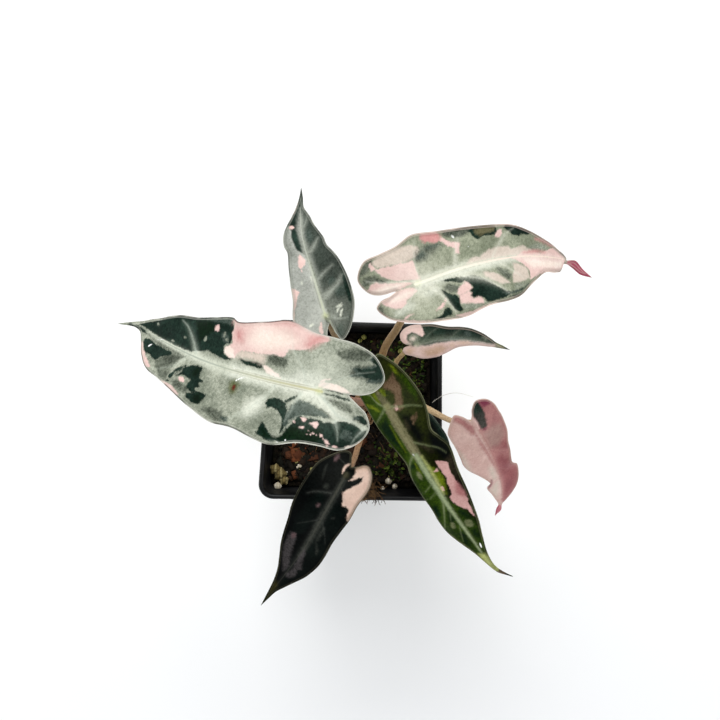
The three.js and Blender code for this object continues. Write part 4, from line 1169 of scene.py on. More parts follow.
# The left leaf is the longest, a thick satiny blade of silver tissue with bottle-green islands and
# one rose and cream panel that has lost its green. Its stalk springs from the left of the corm and
# carries it high over the pot's left side.
grow_leaf(
    "left", "silver_leaf",
    midrib=[(-11.7, 13.4, 214), (-33.9, 18.6, 217), (-54.5, 24.4, 208), (-74.7, 32.8, 190),
            (-84.8, 38.2, 181), (-95.5, 39.7, 172)],
    fold=(8, 8), curl=(8, 8), half_width=24,
    left=[(90, 1, 0), (84, 4.2, 0), (79, 9, 0), (74.5, 12.6, -0.5), (66, 13.6, 0), (56, 15, 1),
          (46, 18.1, 0), (37, 20.8, -1), (27, 20.3, 1.2), (14.5, 23.3, -1.5), (4.5, 20.4, 0.5),
          (-4, 19.7, 1.5), (-12, 20, 0), (-19, 16.5, -1), (-22.5, 10.5, -1), (-20, 5, 0), (-16, 2.2, 0.8),
          (-11.5, -0.8, 0)],
    right=[(90, -2, 0), (83, -6, 0), (76, -9, 0.5), (68, -12.3, 0), (58, -14.3, -0.5), (48, -16.8, 0),
           (40.5, -18.8, -1.5), (34, -17.8, 1.5), (25, -20.3, 0.5), (16, -23, -1.5), (6.5, -20.8, 0),
           (-2, -20.5, 1), (-10, -20, 0.5), (-18.5, -17, -0.5), (-24, -10, -1), (-21.5, -4.6, 0),
           (-16.5, -2, 0.8), (-11.5, -0.8, 0)],
    base=170, stalk=[(6, 5.6, 105), (2, 6.8, 148), (-3.2, 9.2, 178), (-8.6, 11.8, 198)],
    stalk_radius=(2.2, 1.5), stalk_skin=((150, 112, 92), (168, 122, 104), (160, 118, 96)),
    ground="sage",
    markings=[
        ("silver", 2.4, 1.6, [
            [(-14, 7.6), (-9.5, 9.4), (-5, 8), (0, 4), (8, 2.6), (22, 2.4), (34, 2), (34, -2), (20, -1.6),
             (12, -3), (8, -6), (2, -6), (-1, -3), (-1, 0.6), (-5, 4), (-11, 6)],
            dab(22, 11, 10, 5, 60)]),
        ("grey", 0.9, 1.3, [
            [(-14, 5.3), (-9.5, 5), (-5, 3.4), (-2.5, 2), (-8, 1.9), (-13, 2.8)],
            [(-6.5, 9), (-3.5, 9), (0, 9.4), (4, 10.2), (7.5, 11), (9, 9.5), (8, 6.5), (5, 5), (1, 5.4),
             (-3, 6.4), (-5.5, 7.6)],
            [(83, 0.6), (88, 1), (88, -0.6), (83, -0.4)],
            stroke(1.4, (56, 1.6), (66, 1.5), (76, 1.3), (84, 0.6)),
            [(29.5, 18.6), (31, 19.2), (36, 19.6), (41, 17.5), (40, 15.8), (36, 15.6), (33, 15.8),
             (30.5, 17.3)],
            [(13.5, -5.6), (17, -5.4), (20.5, -6.4), (21.6, -8.6), (19.5, -9.8), (16.5, -9.6), (14, -8.6)],
            [(47, 13.2), (50, 13.8), (56, 12.8), (58, 11.6), (54, 10.8), (49, 11.2)],
            [(58, 2), (66, 2.4), (72, 9), (66, 12.4), (60, 12.6), (61, 8)], dab(-10, -16, 14, 5, 8),
            dab(-16, -10.5, 13, 6, 10)]),
        ("deep", 0.35, 0.95, [
            [(-21.4, 10.6), (-19.5, 11.2), (-16, 9.4), (-12, 9), (-9.6, 9.4), (-8.4, 10.6), (-6, 10.4),
             (-4.5, 11), (-2.5, 10.6), (0, 10.2), (3, 10.8), (5, 10), (6.4, 11.4), (7.2, 13.4), (8.6, 15.5),
             (9.8, 18), (11, 20), (13.4, 20), (14.6, 18.6), (16.4, 16.4), (18, 15.2), (18.5, 17.2),
             (19.2, 20.2), (16.8, 20.8), (15.2, 21.8), (12, 21.4), (8, 20.9), (4, 20), (0, 19.4),
             (-6, 19.6), (-12, 19.4), (-17, 17.6), (-20.6, 14)],
            [(9.8, 17), (9.9, 12.6), (10, 9.4), (11.2, 7), (14, 5.8), (17, 6.4), (18.4, 8.4), (17.4, 10.4),
             (15.4, 9.4), (13.2, 10.6), (11.6, 12.8), (11.2, 15), (11, 18.6)],
            stroke(1.1, (7.4, 3.2), (10.5, 5.8), (13.8, 8.2)),
            [(-21.5, 9.4), (-18.6, 8.4), (-15.8, 7.2), (-16.2, 6), (-18.5, 5.7), (-20.6, 7.2)],
            [(-12.5, 1.3), (-9, 1.3), (-5, 1), (-1, 0.9), (-1.3, 0.4), (-6, 0.1), (-12, 0.6)],
            [(40.3, 11.4), (41, 13.4), (42.2, 15.8), (45, 16.3), (48.4, 15), (48.4, 13.4), (46.4, 12.6),
             (44.4, 11.6), (42.4, 11.2)],
            [(45.8, 2.6), (46, 5), (45.6, 6.6), (43.4, 7.4), (45.4, 8.4), (44, 9.6), (45.6, 10.6), (45, 12),
             (47.6, 12.8), (49.4, 11.6), (49.8, 10), (49.6, 8.8), (51.4, 8.2), (53.6, 8), (55.6, 9.6),
             (57.2, 9.4), (56.6, 7), (54, 4.8), (51, 3.2), (48.5, 2.6)],
            [(53.5, 3.9), (55.6, 4.8), (58, 7), (60.3, 10.6), (59.6, 11.8), (57.6, 11), (57.4, 8.2),
             (55.2, 5.8)],
            [(57.4, 12.4), (58.6, 13), (60.2, 12.8), (59.4, 11.7)],
            [(63.5, 2.4), (66, 4.2), (69.4, 5.7), (70.6, 7.2), (72.2, 8.1), (74, 7.4), (76, 6.8),
             (78.2, 7.3), (79.8, 6), (81.5, 4.4), (82.2, 3), (79.5, 1.7), (75, 2.3), (70, 2.3)],
            [(22.1, -3.1), (25, -3.4), (29.5, -3.3), (31.8, -4.6), (31, -5.3), (29.6, -5), (28.8, -4.6),
             (27, -5.2), (24.2, -5.4), (22.6, -5)],
            [(36.4, -9.8), (38.4, -8.8), (39.4, -7.4), (38.6, -5.2), (36.5, -4.2), (34, -4), (37, -3),
             (42, -3.4), (46, -4.2), (49, -3), (52.5, -2.2), (55, -1.2), (60, -0.9), (68, -0.8), (76, -0.9),
             (84, -0.7), (89, -0.9), (86.5, -2.6), (80, -6.4), (72, -10.6), (65, -13), (55, -15),
             (48, -16.3), (44, -17.3), (40.4, -18.4), (37.6, -16.6), (36.2, -14.8), (36.8, -13.2),
             (36, -11.4)],
            [(83, 1), (86, 1.4), (90, 0.9), (96, 0.6), (96, -0.8), (90, -0.4), (85, 0)],
            stroke(0.5, (-9, -0.8), (-5, -1.1), (-1, -0.7))]),
        ("slate", 0.6, 1.3, [
            [(-5.6, 8.8), (-2.6, 9.2), (1, 9.8), (5, 10.4), (8, 12.6), (9.4, 16), (10.6, 15), (10.4, 11),
             (9, 7.4), (6.8, 4.6), (3, 5), (-1, 6.4), (-4, 7.6)],
            [(-23.3, -8.5), (-21, -7.2), (-16.5, -6.9), (-17, -8.6), (-13.5, -8.4), (-9.5, -7.8),
             (-12.4, -9.3), (-9, -11), (-13, -11.8), (-15.5, -12.5), (-18.4, -14.3), (-15.4, -15.2),
             (-16.6, -16.8), (-18.5, -17), (-21.5, -14.5), (-23.6, -11)],
            [(38, -16.2), (44, -15.7), (52, -14.4), (52, -16), (44, -17.6), (39, -18.8)],
            [(-15.5, 12.2), (-12, 12), (-11.4, 15), (-14.6, 16.4), (-16, 14.6)], dab(31, 18, 3, 1.8),
            dab(12.8, 21.2, 4, 0.8, 8), dab(40, -11, 5, 3, -30), dab(-16, 7, 3, 1.4)]),
        ("deep", 0.3, 1.3, [
            [(-22.6, -9.4), (-19.4, -8.2), (-15, -9), (-11.4, -8.8), (-14.4, -10), (-11, -11.2),
             (-15.6, -11.6), (-19, -13.4), (-17.8, -15.4), (-20.6, -14.6), (-22.8, -11.6)]]),
        ("forest", 1.1, 1.0, [
            [(-4.5, 17), (-2, 19), (4, 19.4), (7, 20), (12, 20.8), (17, 20.6), (17.6, 17.4), (14.6, 19.6),
             (10.8, 19.6), (9.6, 17.5), (8, 15), (6, 14.5), (3.5, 15.5), (0, 14), (-3.5, 13.6)],
            [(-20, -15), (-17.4, -14.8), (-17, -17), (-20, -16)], dab(43.5, 14, 4, 3.4, 40),
            dab(48, 5, 3, 4), [(44, -13.6), (48, -10), (52, -6), (54, -9), (58, -12.6), (50, -15)]]),
        ("sage", 0.5, 1.0, [
            [(11.6, 12.6), (13.8, 10.6), (16, 10), (17.6, 12.6), (17.4, 15), (15.8, 17.4), (13.4, 19.2),
             (11.6, 18.4), (11, 15.6)],
            [(48.6, 8.6), (51.2, 8.4), (52, 10), (50, 11)], stroke(1.0, (54.6, 6.2), (55.8, 8), (57, 10.2)),
            dab(38.4, -10.4, 1.6, 0.8), dab(40.8, -11.8, 1, 1.8), dab(49.2, -7.9, 1.4, 1.9),
            dab(66.8, -2, 1.4, 0.6), dab(79, -5, 2, 0.8), dab(60.6, -5.3, 1.2, 0.5)]),
        ("taupe", 1.4, 1.5, [
            [(22, -5.4), (28, -5.6), (34, -5), (36, -6.5), (31, -8.4), (25, -8.8), (21.6, -8.4)]]),
        ("blush", 0.35, 0.85, [
            [(0.5, -21.5), (1, -18.4), (4, -17.6), (6.3, -15.8), (7, -14.4), (9.5, -13.3), (14.5, -12.6),
             (15, -10.2), (16, -9.3), (18.5, -9.5), (19, -9.8), (21.5, -9), (26, -8.3), (31, -7.9),
             (33.2, -6.2), (33.4, -4.6), (36, -4.3), (38.5, -5.5), (38.8, -7.5), (36.5, -8.6), (35.6, -9.6),
             (36, -11.5), (37, -13.4), (36.2, -14.4), (36.6, -16.5), (38, -18), (36.5, -19.5), (25, -22.5),
             (16, -25), (6.5, -22.5)],
            [(51, 15.8), (54, 16.3), (60, 15.2), (63, 13.4), (58, 13.2), (54.8, 13.8), (51.3, 15)],
            [(72, 11.2), (75.2, 12.2), (77, 10.9), (80, 8), (83, 4.2), (82, 4.6), (79.5, 6.6), (77, 8.4),
             (74.5, 10)],
            [(-8, 18.2), (-6.4, 18.4), (-5.2, 16.8), (-6.6, 16.8)],
            [(2.6, 14.7), (4.6, 14.7), (4, 13.9), (2.8, 14)],
            [(-2.2, 12), (-1.9, 13.8), (-1, 13.7), (-0.4, 12.7), (1.2, 12.4), (0, 11.8), (-1.4, 11.2)],
            [(2.2, 11.2), (3, 12.5), (4.9, 11), (3.6, 10.5)], dab(-4.2, 15.8, 1.4, 0.9, -30),
            dab(6.5, 12.9, 0.9), stroke(0.9, (-11.3, 18.9), (-9, 18.8)), dab(-7.2, 19.1, 1, 0.5),
            dab(-2.5, 16, 0.5), dab(-1.2, 15.6, 0.6), dab(1.2, 16.4, 0.7, 0.4), dab(0.7, 15, 0.7, 0.5),
            dab(-0.3, 16.3, 0.4), dab(52.8, 9.7, 3.4, 1.9, -10),
            [(43.6, -12.4), (45.8, -12.2), (46.2, -14), (44.6, -14.6), (43.8, -13.6)]]),
        ("cream", 3.0, 1.2, [[(15, -12.6), (24, -9.8), (29, -12), (27, -17.4), (17, -18.4), (12, -16)]]),
        ("rose", 2.2, 1.2, [
            [(31.4, -11.6), (33.6, -11), (35, -13), (34.6, -15), (32, -15)],
            [(27, -20), (33, -18), (38, -17.4), (38, -20), (30, -21)],
            [(1.4, -20), (4, -17.4), (7, -14.6), (8.6, -15.5), (8, -18.5), (4, -21)],
            stroke(1.2, (9, -22.8), (20, -22), (30, -19.6))]),
        ("cream", 0.4, 0.7, [
            [(-12.5, -1.2), (-9, -1.4), (-5, -1.5), (-1, -1.4), (0.6, -1), (0.8, -2.4), (-1, -3.6),
             (-4, -3.8), (-7, -3.6), (-10.5, -2.5)],
            stroke(0.5, (0.6, -2), (-0.6, -4.2), (-3.4, -5.4)),
            [(15, -1.6), (18, -1.7), (20.6, -2.4), (22.2, -4.6), (20.8, -4.9), (18.4, -3.8), (16, -2.8)],
            [(33.6, -4.6), (36, -4.3), (38.5, -5.5), (38.6, -7.4), (36.5, -8.4), (34.6, -7.6)],
            [(-20.5, 15.5), (-18, 18.8), (-15, 19.6), (-14.2, 18.2), (-15, 17.6), (-17.5, 17),
             (-19.5, 15.3)]]),
        ("moss", 1.2, 0.6, [[(28.9, 4.4), (29.8, 8), (31.4, 8.6), (32.8, 6.6), (32.6, 4), (31, 3)]]),
        ("rust", 0.45, 0.3, [dab(30.7, 6, 1.3, 2.5)]),
        # painted highlights: small white glints of light on the blade
        ("glint", 0.12, 0.15, [
            stroke(0.5, (26.4, 0.5), (29, 2), (30.6, 3.2), (31.4, 4.3)),
            stroke(0.35, (31.6, -1.3), (33.8, -0.4)), stroke(0.35, (72, -0.9), (74, -0.2), (76, 0.5)),
            stroke(0.6, (77, 3), (77.8, 4), (78.2, 4.8)), dab(8.4, 20.2, 0.7), dab(11.2, 21.6, 1.4, 0.5)]),
    ],
    veins=[
        (1.4, (0, 1), (-5, 4.4), (-9, 7.6), (-14, 8.6), (-20.6, 10.6)),
        (0.9, (-8.4, 9.6), (-9.9, 13), (-10.8, 16.6)), (0.8, (-20, 10.8), (-17.6, 13.8), (-16.4, 17.2)),
        (0.8, (6.4, 2.4), (8, 6.4), (9.2, 10.6), (10, 13.6)),
        (0.4, (16, 1), (20, 8), (26, 14.5), (30, 18.5)), (0.4, (56, 1), (60, 6), (66, 9.5), (72, 11.4)),
        (1.1, (52, -1.4), (54.6, -4.4), (58, -7.4), (61.6, -9.6), (65.6, -10.8)),
        (0.5, (0, -1), (-5, -5), (-12, -9), (-19, -11.5)),
        (0.4, (5, -1), (8, -7), (13, -13.5), (15, -20))],
    look={"glow_share": 0.6, "halo_share": 0.3, "vein": (176, 186, 174), "rib_foot": (182, 176, 128),
          "rib_tip": (146, 154, 142), "rib_share": 0.7, "margin": (84, 86, 80), "painted_edge_shade": 0.15},
    fineness=16, rows=44)


# The right leaf is a mosaic of sage, taupe and pink tissue, and its drip tip has turned magenta.
# It stands nearly as high as the left one, on a brown stalk from the back of the corm.
grow_leaf(
    "right", "cream_leaf",
    midrib=[(25.2, 53.7, 206), (43.9, 59.8, 210), (64.1, 64.1, 202), (81.9, 64.6, 188), (86, 63.1, 183),
            (97.1, 58.1, 176)],
    fold=(8, 8), curl=(8, 8), half_width=18,
    left=[(80, 1.1, 0), (74.5, 2.2, 0.6), (70.6, 0.7, 0), (66.5, 2.2, 0), (60, 5, 0), (53, 7.2, 0.6),
          (45.5, 10.4, 0), (40.5, 12.5, -0.8), (32, 13.1, 1), (23, 14.3, 0), (13.5, 15.9, -1), (4, 17.8, 1),
          (-4, 15.7, 0.5), (-11, 15, 0.5), (-18, 14.4, 0), (-22.8, 9, -0.8), (-20.5, 3.2, 0),
          (-16, 0.4, 0.5), (-9.2, -0.3, 0)],
    right=[(80, -1.3, 0), (74.5, -0.7, -0.6), (70.8, -0.8, 0), (69, -4.4, -1), (62, -5.8, 0),
           (54, -6.3, 1.2), (47.5, -10.2, 0.4), (41, -14.6, -1), (33, -16, 0), (24, -16.2, 1),
           (14, -17.9, -1), (4, -16.4, 0.4), (-3, -14.9, 0.6), (-9, -12.7, 0.4), (-15, -9.4, 0),
           (-18.8, -4.6, -0.5), (-16.8, -2.3, 0), (-13, -1.6, 0.5), (-9.2, -0.3, 0)],
    base=85, stalk=[(12.6, 17.5, 106), (13.9, 29.2, 140), (19.5, 39.2, 167), (23.8, 49, 190)],
    stalk_radius=(2.2, 1.3), stalk_skin=((112, 82, 50), (146, 116, 76), (158, 130, 90)),
    ground="lichen",
    markings=[
        ("silver", 2.4, 1.2, [
            [(-1, 1), (6, 1.2), (16, 1), (30, 0.8), (44, 0.8), (44, -1.2), (30, -2.2), (16, -2.6),
             (6, -2.6), (-1, -3)],
            dab(4, -4.6, 6, 1.6), dab(-8, -8, 8, 2, 12)]),
        ("taupe", 0.6, 0.9, [
            [(-15, 13), (-10, 14.8), (-4, 15), (1, 14.7), (4.5, 13), (5, 11), (3, 9.3), (-3, 9), (-9, 9.8),
             (-13, 10.5)],
            [(19, 0.8), (21, 2.3), (23.5, 2.9), (25, 2.2), (28, 4), (31, 4.7), (35, 4.6), (37.5, 4.4),
             (39, 3), (41, 3.6), (44, 4.2), (46, 3.2), (48, 3), (50, 2.4), (50, 0.6)],
            [(38.5, -2), (43, -3.5), (45, -5), (45.5, -8.4), (42, -9.6), (36.6, -9.6), (37, -7),
             (38.4, -5)],
            [(25, -3.4), (29, -4.6), (32, -6.4), (35, -9.4), (31, -9.4), (27.6, -7), (24.6, -5)]]),
        ("grey", 0.9, 1.2, [
            [(-21.5, 6.5), (-19.5, 8.5), (-15, 7.8), (-13, 6), (-10.5, 4.2), (-13, 3.8), (-15.5, 5),
             (-17, 6.2), (-19, 5.2), (-21, 5.5)],
            [(-22, 9.5), (-20, 11.5), (-17.5, 13.8), (-14, 14.3), (-15, 11.5), (-17.5, 10.3), (-20, 9.7)],
            [(14.4, 13.4), (15, 15.3), (22, 14.4), (30, 13.6), (24, 12.5), (20.4, 11), (18.4, 11.6)],
            [(-18.7, -4.2), (-17, -3.6), (-15.6, -4.6), (-16.5, -6.5), (-15, -8.8), (-16.5, -8.6),
             (-18.3, -6.3)],
            [(30, -3.4), (35, -3.8), (36.6, -6.4), (35, -8.6), (32, -6.4)]]),
        # painted shade: a soft dark patch left of the midrib near the blade's foot, grey with a slate core
        ("grey", 1.8, 1.4, [
            [(1.8, 8), (3, 10.5), (6, 12.4), (9, 12), (12, 11.8), (13.5, 10.2), (10, 9), (6, 7.4)]]),
        ("slate", 1.6, 1.2, [dab(4.4, 9.2, 4, 2.6, 20), dab(9.4, 11.2, 5, 0.8)]),
        ("blush", 0.35, 0.9, [
            [(-14.5, 10.2), (-9, 9.6), (-4, 9), (1, 8.6), (1, 4), (1.5, 0.8), (-3, 2.2), (-8, 3.5),
             (-10, 5), (-12, 6.5), (-13.5, 8.5)],
            [(-16, 12.5), (-15.2, 13.4), (-14, 11), (-13.5, 10.2), (-16, 10)],
            [(12.6, 12.6), (13.8, 13.2), (15.6, 11), (17.2, 10.2), (19.3, 9.3), (18.4, 7.6), (18.2, 5.4),
             (16.6, 5.7), (17, 7.6), (15.4, 9), (14, 10.6)],
            [(32.2, 9.4), (33, 10.8), (35, 11), (35.5, 9.4), (34, 8), (32.4, 8.3)],
            [(40, 0), (44, 2), (50, 1.8), (53, 1.4), (57, 2.8), (60, 4), (64, 2.5), (69, 0.4), (70, 0)],
            [(38, -0.3), (42, -2), (45.5, -5), (46, -9), (52, -6.6), (56, -5.6), (65, -5.2), (68, -3),
             (70, -0.8), (70, 0.2)],
            [(-16, -9), (-13, -10.5), (-9, -11.8), (-4, -13.6), (0, -15), (-4, -16), (-10, -14.5),
             (-15, -11.6)],
            stroke(0.7, (-9.4, -11.6), (-7.6, -10.8), (-5, -10.6)),
            stroke(1.2, (3.6, -12.2), (6.4, -11), (8.8, -8.6)),
            [(10, -16.2), (17, -16.6), (24, -15.6), (24, -18), (14, -19)]]),
        ("deep", 0.35, 0.9, [
            [(22.8, 12.6), (24, 13.4), (29, 13.2), (33, 12.3), (33.4, 10.5), (32, 9.3), (27.4, 9.6),
             (25.4, 8.8), (23.8, 10.4)],
            [(36, 11.5), (38, 12.5), (42, 12), (45, 10.8), (49, 9.2), (46.5, 8.2), (44, 8.4), (42.5, 7.8),
             (40, 8.6), (38.5, 10)],
            [(9, -2.4), (12, -2.4), (16, -3), (20, -3.6), (23, -5), (26, -7.2), (29, -9.8), (32, -12),
             (35, -13), (33, -14.2), (28, -14.8), (23, -14.9), (22.2, -13), (20.5, -12), (18.5, -12.2),
             (17.6, -10.8), (18.6, -10), (17.6, -9), (19.3, -8.2), (18.6, -6.8), (17, -4.9), (15.5, -5.4),
             (12.6, -4)],
            [(7.6, -5.4), (9, -6.4), (10.6, -8.2), (12.4, -8.8), (13.6, -10.4), (12.8, -12.8),
             (13.4, -15.2), (11, -15.3), (9.8, -13.4), (9.4, -10.6), (8.4, -8.4)],
            [(1.6, -14.8), (5, -14.4), (6.6, -12.6), (8.2, -11.8), (9, -14), (8.6, -15.5), (4, -15.6)]]),
        ("khaki", 0.7, 0.9, [
            [(24.8, 12.6), (30, 12.7), (32.6, 12), (32, 10.6), (28.6, 10.5), (26.4, 10), (25.2, 11)]]),
        ("grey", 0.7, 0.9, [
            [(8.8, -4.8), (11, -4), (14.6, -5.8), (14.8, -7.4), (12.6, -8.2), (10.4, -7), (9, -6)]]),
        ("slate", 0.6, 0.9, [
            [(45, 10.6), (52, 7.9), (60, 5.8), (66, 3.2), (69, 0.6), (65, 2), (60, 4.3), (52, 6.9)],
            stroke(1.2, (30, -12.8), (35, -13.2), (40, -12.6), (44.6, -10.8)),
            stroke(0.8, (33, -14.4), (38, -14.6), (42, -13.2))]),
        ("sage", 0.8, 1.0, [
            [(46, 3.2), (50, 4.8), (54.4, 4.8), (56.4, 3.4), (53, 2), (49, 2.4)],
            [(36.6, -10.4), (41, -10.2), (44.4, -9.6), (42, -11.6), (37, -12)],
            [(13.4, -12.6), (17, -13.4), (20, -14), (23, -15), (18, -16), (13.6, -15)]]),
        ("rose", 0.7, 1.2, [
            [(6.4, 15.2), (7.2, 16.9), (10, 16.6), (13, 15.8), (13.7, 13.6), (12.8, 12.3), (10.6, 12),
             (8.4, 13.2), (7, 14)]]),
        ("rose", 1.1, 0.8, [
            stroke(1.3, (49.6, 6.6), (54, 6), (59.6, 4.2)), stroke(1.2, (44, 1.2), (50, 1.8), (56, 1.6))]),
        ("blush", 0.5, 0.9, [
            [(-20, 3.5), (-18.5, 4.9), (-15.5, 5.6), (-14, 4.4), (-10, 3.3), (-5, 2), (-1, 0.8), (-4, 0.2),
             (-9, -0.1), (-14, 0.4), (-18, 1.6)],
            [(-16, -2), (-13, -1.7), (-9.2, -0.5), (-5, -0.4), (-2, -1), (-1.2, -2.6), (-3.5, -4),
             (-6, -4.9), (-6.6, -6.2), (-9, -7.4), (-11, -6.8), (-13.5, -5), (-15.5, -3.6)],
            [(14.6, -6.4), (16.4, -5.9), (17, -5), (18.6, -6.8), (19.3, -8.2), (17.6, -9), (14.2, -9.8),
             (12.9, -8.8)]]),
        ("blush", 0.5, 0.9, [
            [(13.4, -9.4), (17.6, -9.2), (18.4, -10), (17.7, -10.8), (18.5, -12.2), (20.5, -12),
             (22, -13.4), (21.6, -14.8), (18, -13.8), (14.5, -13), (13.3, -12.6)]]),
        ("cream", 1.2, 0.8, [
            [(44, -1), (54, -1.4), (66, -1.2), (66, -3.6), (56, -4.4), (47, -4.4)], dab(-8, -3, 9, 2, 6),
            [(-18, 2.8), (-12, 3), (-5, 1.4), (-9, 0.6), (-15, 1)]]),
        # painted highlights: small white glints of light on the blade
        ("glint", 0.2, 0.3, [stroke(0.6, (17.2, 12.8), (17.7, 11.4)), dab(21.6, 7, 0.7, 0.4)]),
        ("magenta", 0.5, 0.5, [[(71, -3), (71, 3), (86, 3), (86, -3)]]),
    ],
    veins=[
        (1.1, (4.4, -2.6), (7.6, -8), (10.4, -15)),
        (1.3, (16.5, -2.6), (23, -5.4), (28.6, -9.2), (33.4, -13)), (0.6, (-1, -1.5), (-6, -6), (-12, -9)),
        (0.7, (-0.5, 1), (-8, 3.2), (-14, 5), (-19, 7)), (0.6, (1, 1), (1.2, 5), (2, 10), (4, 15)),
        (0.6, (15, 1), (16.4, 5), (18, 9.4), (20, 13)), (0.5, (30, 1), (33, 5), (37, 9), (41, 11)),
        (0.5, (33, -1.4), (37, -4.6), (43, -8.4))],
    look={"glow": (226, 224, 208), "glow_share": 0.36, "halo_share": 0.35, "rib_foot": (244, 240, 222),
          "rib_share": 0.75, "rib_tip": (244, 224, 210), "flank": (186, 184, 156), "flank_share": 0.3,
          "vein": (214, 216, 202), "knot": (232, 236, 196), "margin": (150, 134, 124),
          "margin_line": (224, 202, 192)},
    fineness=16, rows=44)


# The back leaf hangs lower behind the others. Its tissue is deep green, and the half to the left of
# its midrib is painted pearl grey as painted sheen. Its stalk leans out of the corm towards the back.
grow_leaf(
    "back", "silver_leaf",
    midrib=[(-11.3, 43.6, 152), (-16.7, 61.2, 150), (-22.3, 81, 138), (-23.6, 104, 118)],
    fold=(12, 12), curl=(8, 8), half_width=14,
    left=[(66, 0.7, 0), (59, 2, 0), (52, 4, 0), (46, 6.2, 0.3), (41, 8.2, 0), (36.5, 8.8, -0.8),
          (31, 7.8, 1.2), (24, 9.3, 0.4), (17, 10.6, -0.6), (10, 11.5, 0.4), (3, 13.8, -0.6), (-3, 14, 0.6),
          (-8, 12.6, 0.4), (-12, 9, 0), (-12.6, 5, -0.4), (-9.6, 2.3, 0), (-6, 0.9, 0.3), (-2.5, -1.4, 0)],
    right=[(66, -0.8, 0), (59, -1.4, 0), (52, -4, 0.3), (45.5, -6.1, 0), (40, -8.1, -0.6), (35, -9.3, 0),
           (29.5, -9.7, 0.9), (23, -12.4, 0), (16, -13.9, -0.8), (9.5, -14.3, 0.5), (2.5, -13.9, 0),
           (-3.5, -11.7, 0.4), (-8, -9, 0), (-11.3, -5.6, -0.4), (-11.4, -3.4, 0), (-8.6, -2.2, 0),
           (-5.6, -1.8, 0.3), (-2.5, -1.4, 0)],
    base=125, stalk=[(3.5, 17.5, 104), (-4.6, 29.5, 129), (-9.4, 39, 143)],
    stalk_radius=(1.9, 1.1), stalk_skin=((140, 110, 84), (150, 122, 92), (140, 120, 90)),
    ground="dusk_green",
    markings=[
        ("slate", 1.6, 1.2, [
            dab(8, -9.6, 5, 6), dab(13.4, -7, 3, 3), dab(39, -3, 8, 3), dab(-8, -4, 6, 2, -30)]),
        # painted sheen: the half left of the midrib is painted pearl grey for the light it catches
        ("pearl", 0.5, 0.9, [
            [(-13, 9), (-8, 13.4), (3, 14.4), (17, 11.4), (31, 8.4), (41, 9), (47.6, 6.6), (45, 5),
             (42.4, 4.4), (40, 4.8), (37, 4.3), (35.5, 3.6), (33, 4), (31, 2.4), (29, 1), (20, -0.2),
             (8, -0.8), (0, -1.4), (-6, -1.8), (-12, -2)]]),
        ("deep", 0.5, 0.9, [
            [(30.6, 1.8), (32.5, 3.2), (34.5, 4), (37, 4.3), (40, 4.7), (43, 4.2), (44, 3.2), (42, 2),
             (38, 1.6)],
            stroke(2, (2, -12), (8, -12.6), (18, -12.4)),
            [(46, 4.6), (52, 3.4), (58, 1.6), (64, 0.6), (64, -0.4), (56, -0.8), (47, 0.6)]]),
        ("dove", 1.6, 1.2, [
            [(29, 5), (34, 5.4), (40, 5.8), (46, 6.4), (44, 8), (38, 9.4), (29, 8.6)],
            stroke(1.6, (36, 0.6), (46, 0.7), (58, 0.2))]),
        ("silver", 0.5, 0.9, [
            dab(-2.2, 7, 1, 2.2, 20), dab(16.4, 5.6, 1.4, 0.7), dab(17, 1.2, 2, 0.9),
            stroke(0.9, (-2.2, -6.2), (-0.4, -7), (0.6, -8.4)),
            stroke(0.8, (2.4, -5.4), (2.2, -7), (3.2, -8.4)),
            stroke(0.6, (-0.2, -5.2), (1.4, -6.6), (2, -8.6))]),
        ("blush", 0.4, 0.9, [
            [(1, 13.6), (5, 14.6), (10, 12.6), (15.4, 11.8), (15, 10.2), (14, 9), (12.8, 7.6), (11.4, 8.8),
             (8.5, 10.4), (5, 12.4)],
            [(22.4, 4.4), (24, 5), (26, 4.6), (28.5, 4), (29.8, 3), (28, 2), (26, 1.3), (24, 2.2)],
            dab(45, 4.2, 2.2, 2.6), stroke(0.9, (50, 4.6), (56, 2.9), (63, 1.4)),
            [(-8, 4), (-5, 4.4), (-2, 3), (-2.2, 2.4), (-6.5, 3)], dab(21.6, 4.2, 1.6, 0.6)]),
    ],
    veins=[
        (1.1, (8, -2.4), (9.6, -6), (12, -9.6), (15, -12.6)), (1, (-1, -2.4), (-2.8, -5.4), (-3.6, -9.4)),
        (0.7, (30, -1.6), (32.4, -4.4), (36, -6.8)), (0.5, (16, -1.5), (18, -5), (20, -9.5)),
        (0.4, (4, 1), (8, 5), (12, 7.4)), (0.4, (45, -1), (49, -2.6), (53, -3))],
    look={"glow": (190, 194, 182), "glow_share": 0.4, "halo_share": 0.3, "vein": (160, 166, 156),
          "rib_foot": (200, 206, 176), "rib_tip": (176, 180, 168), "flank": (120, 124, 100),
          "flank_share": 0.4, "margin": (92, 96, 90), "margin_line": (176, 178, 168)},
    sheath=19)


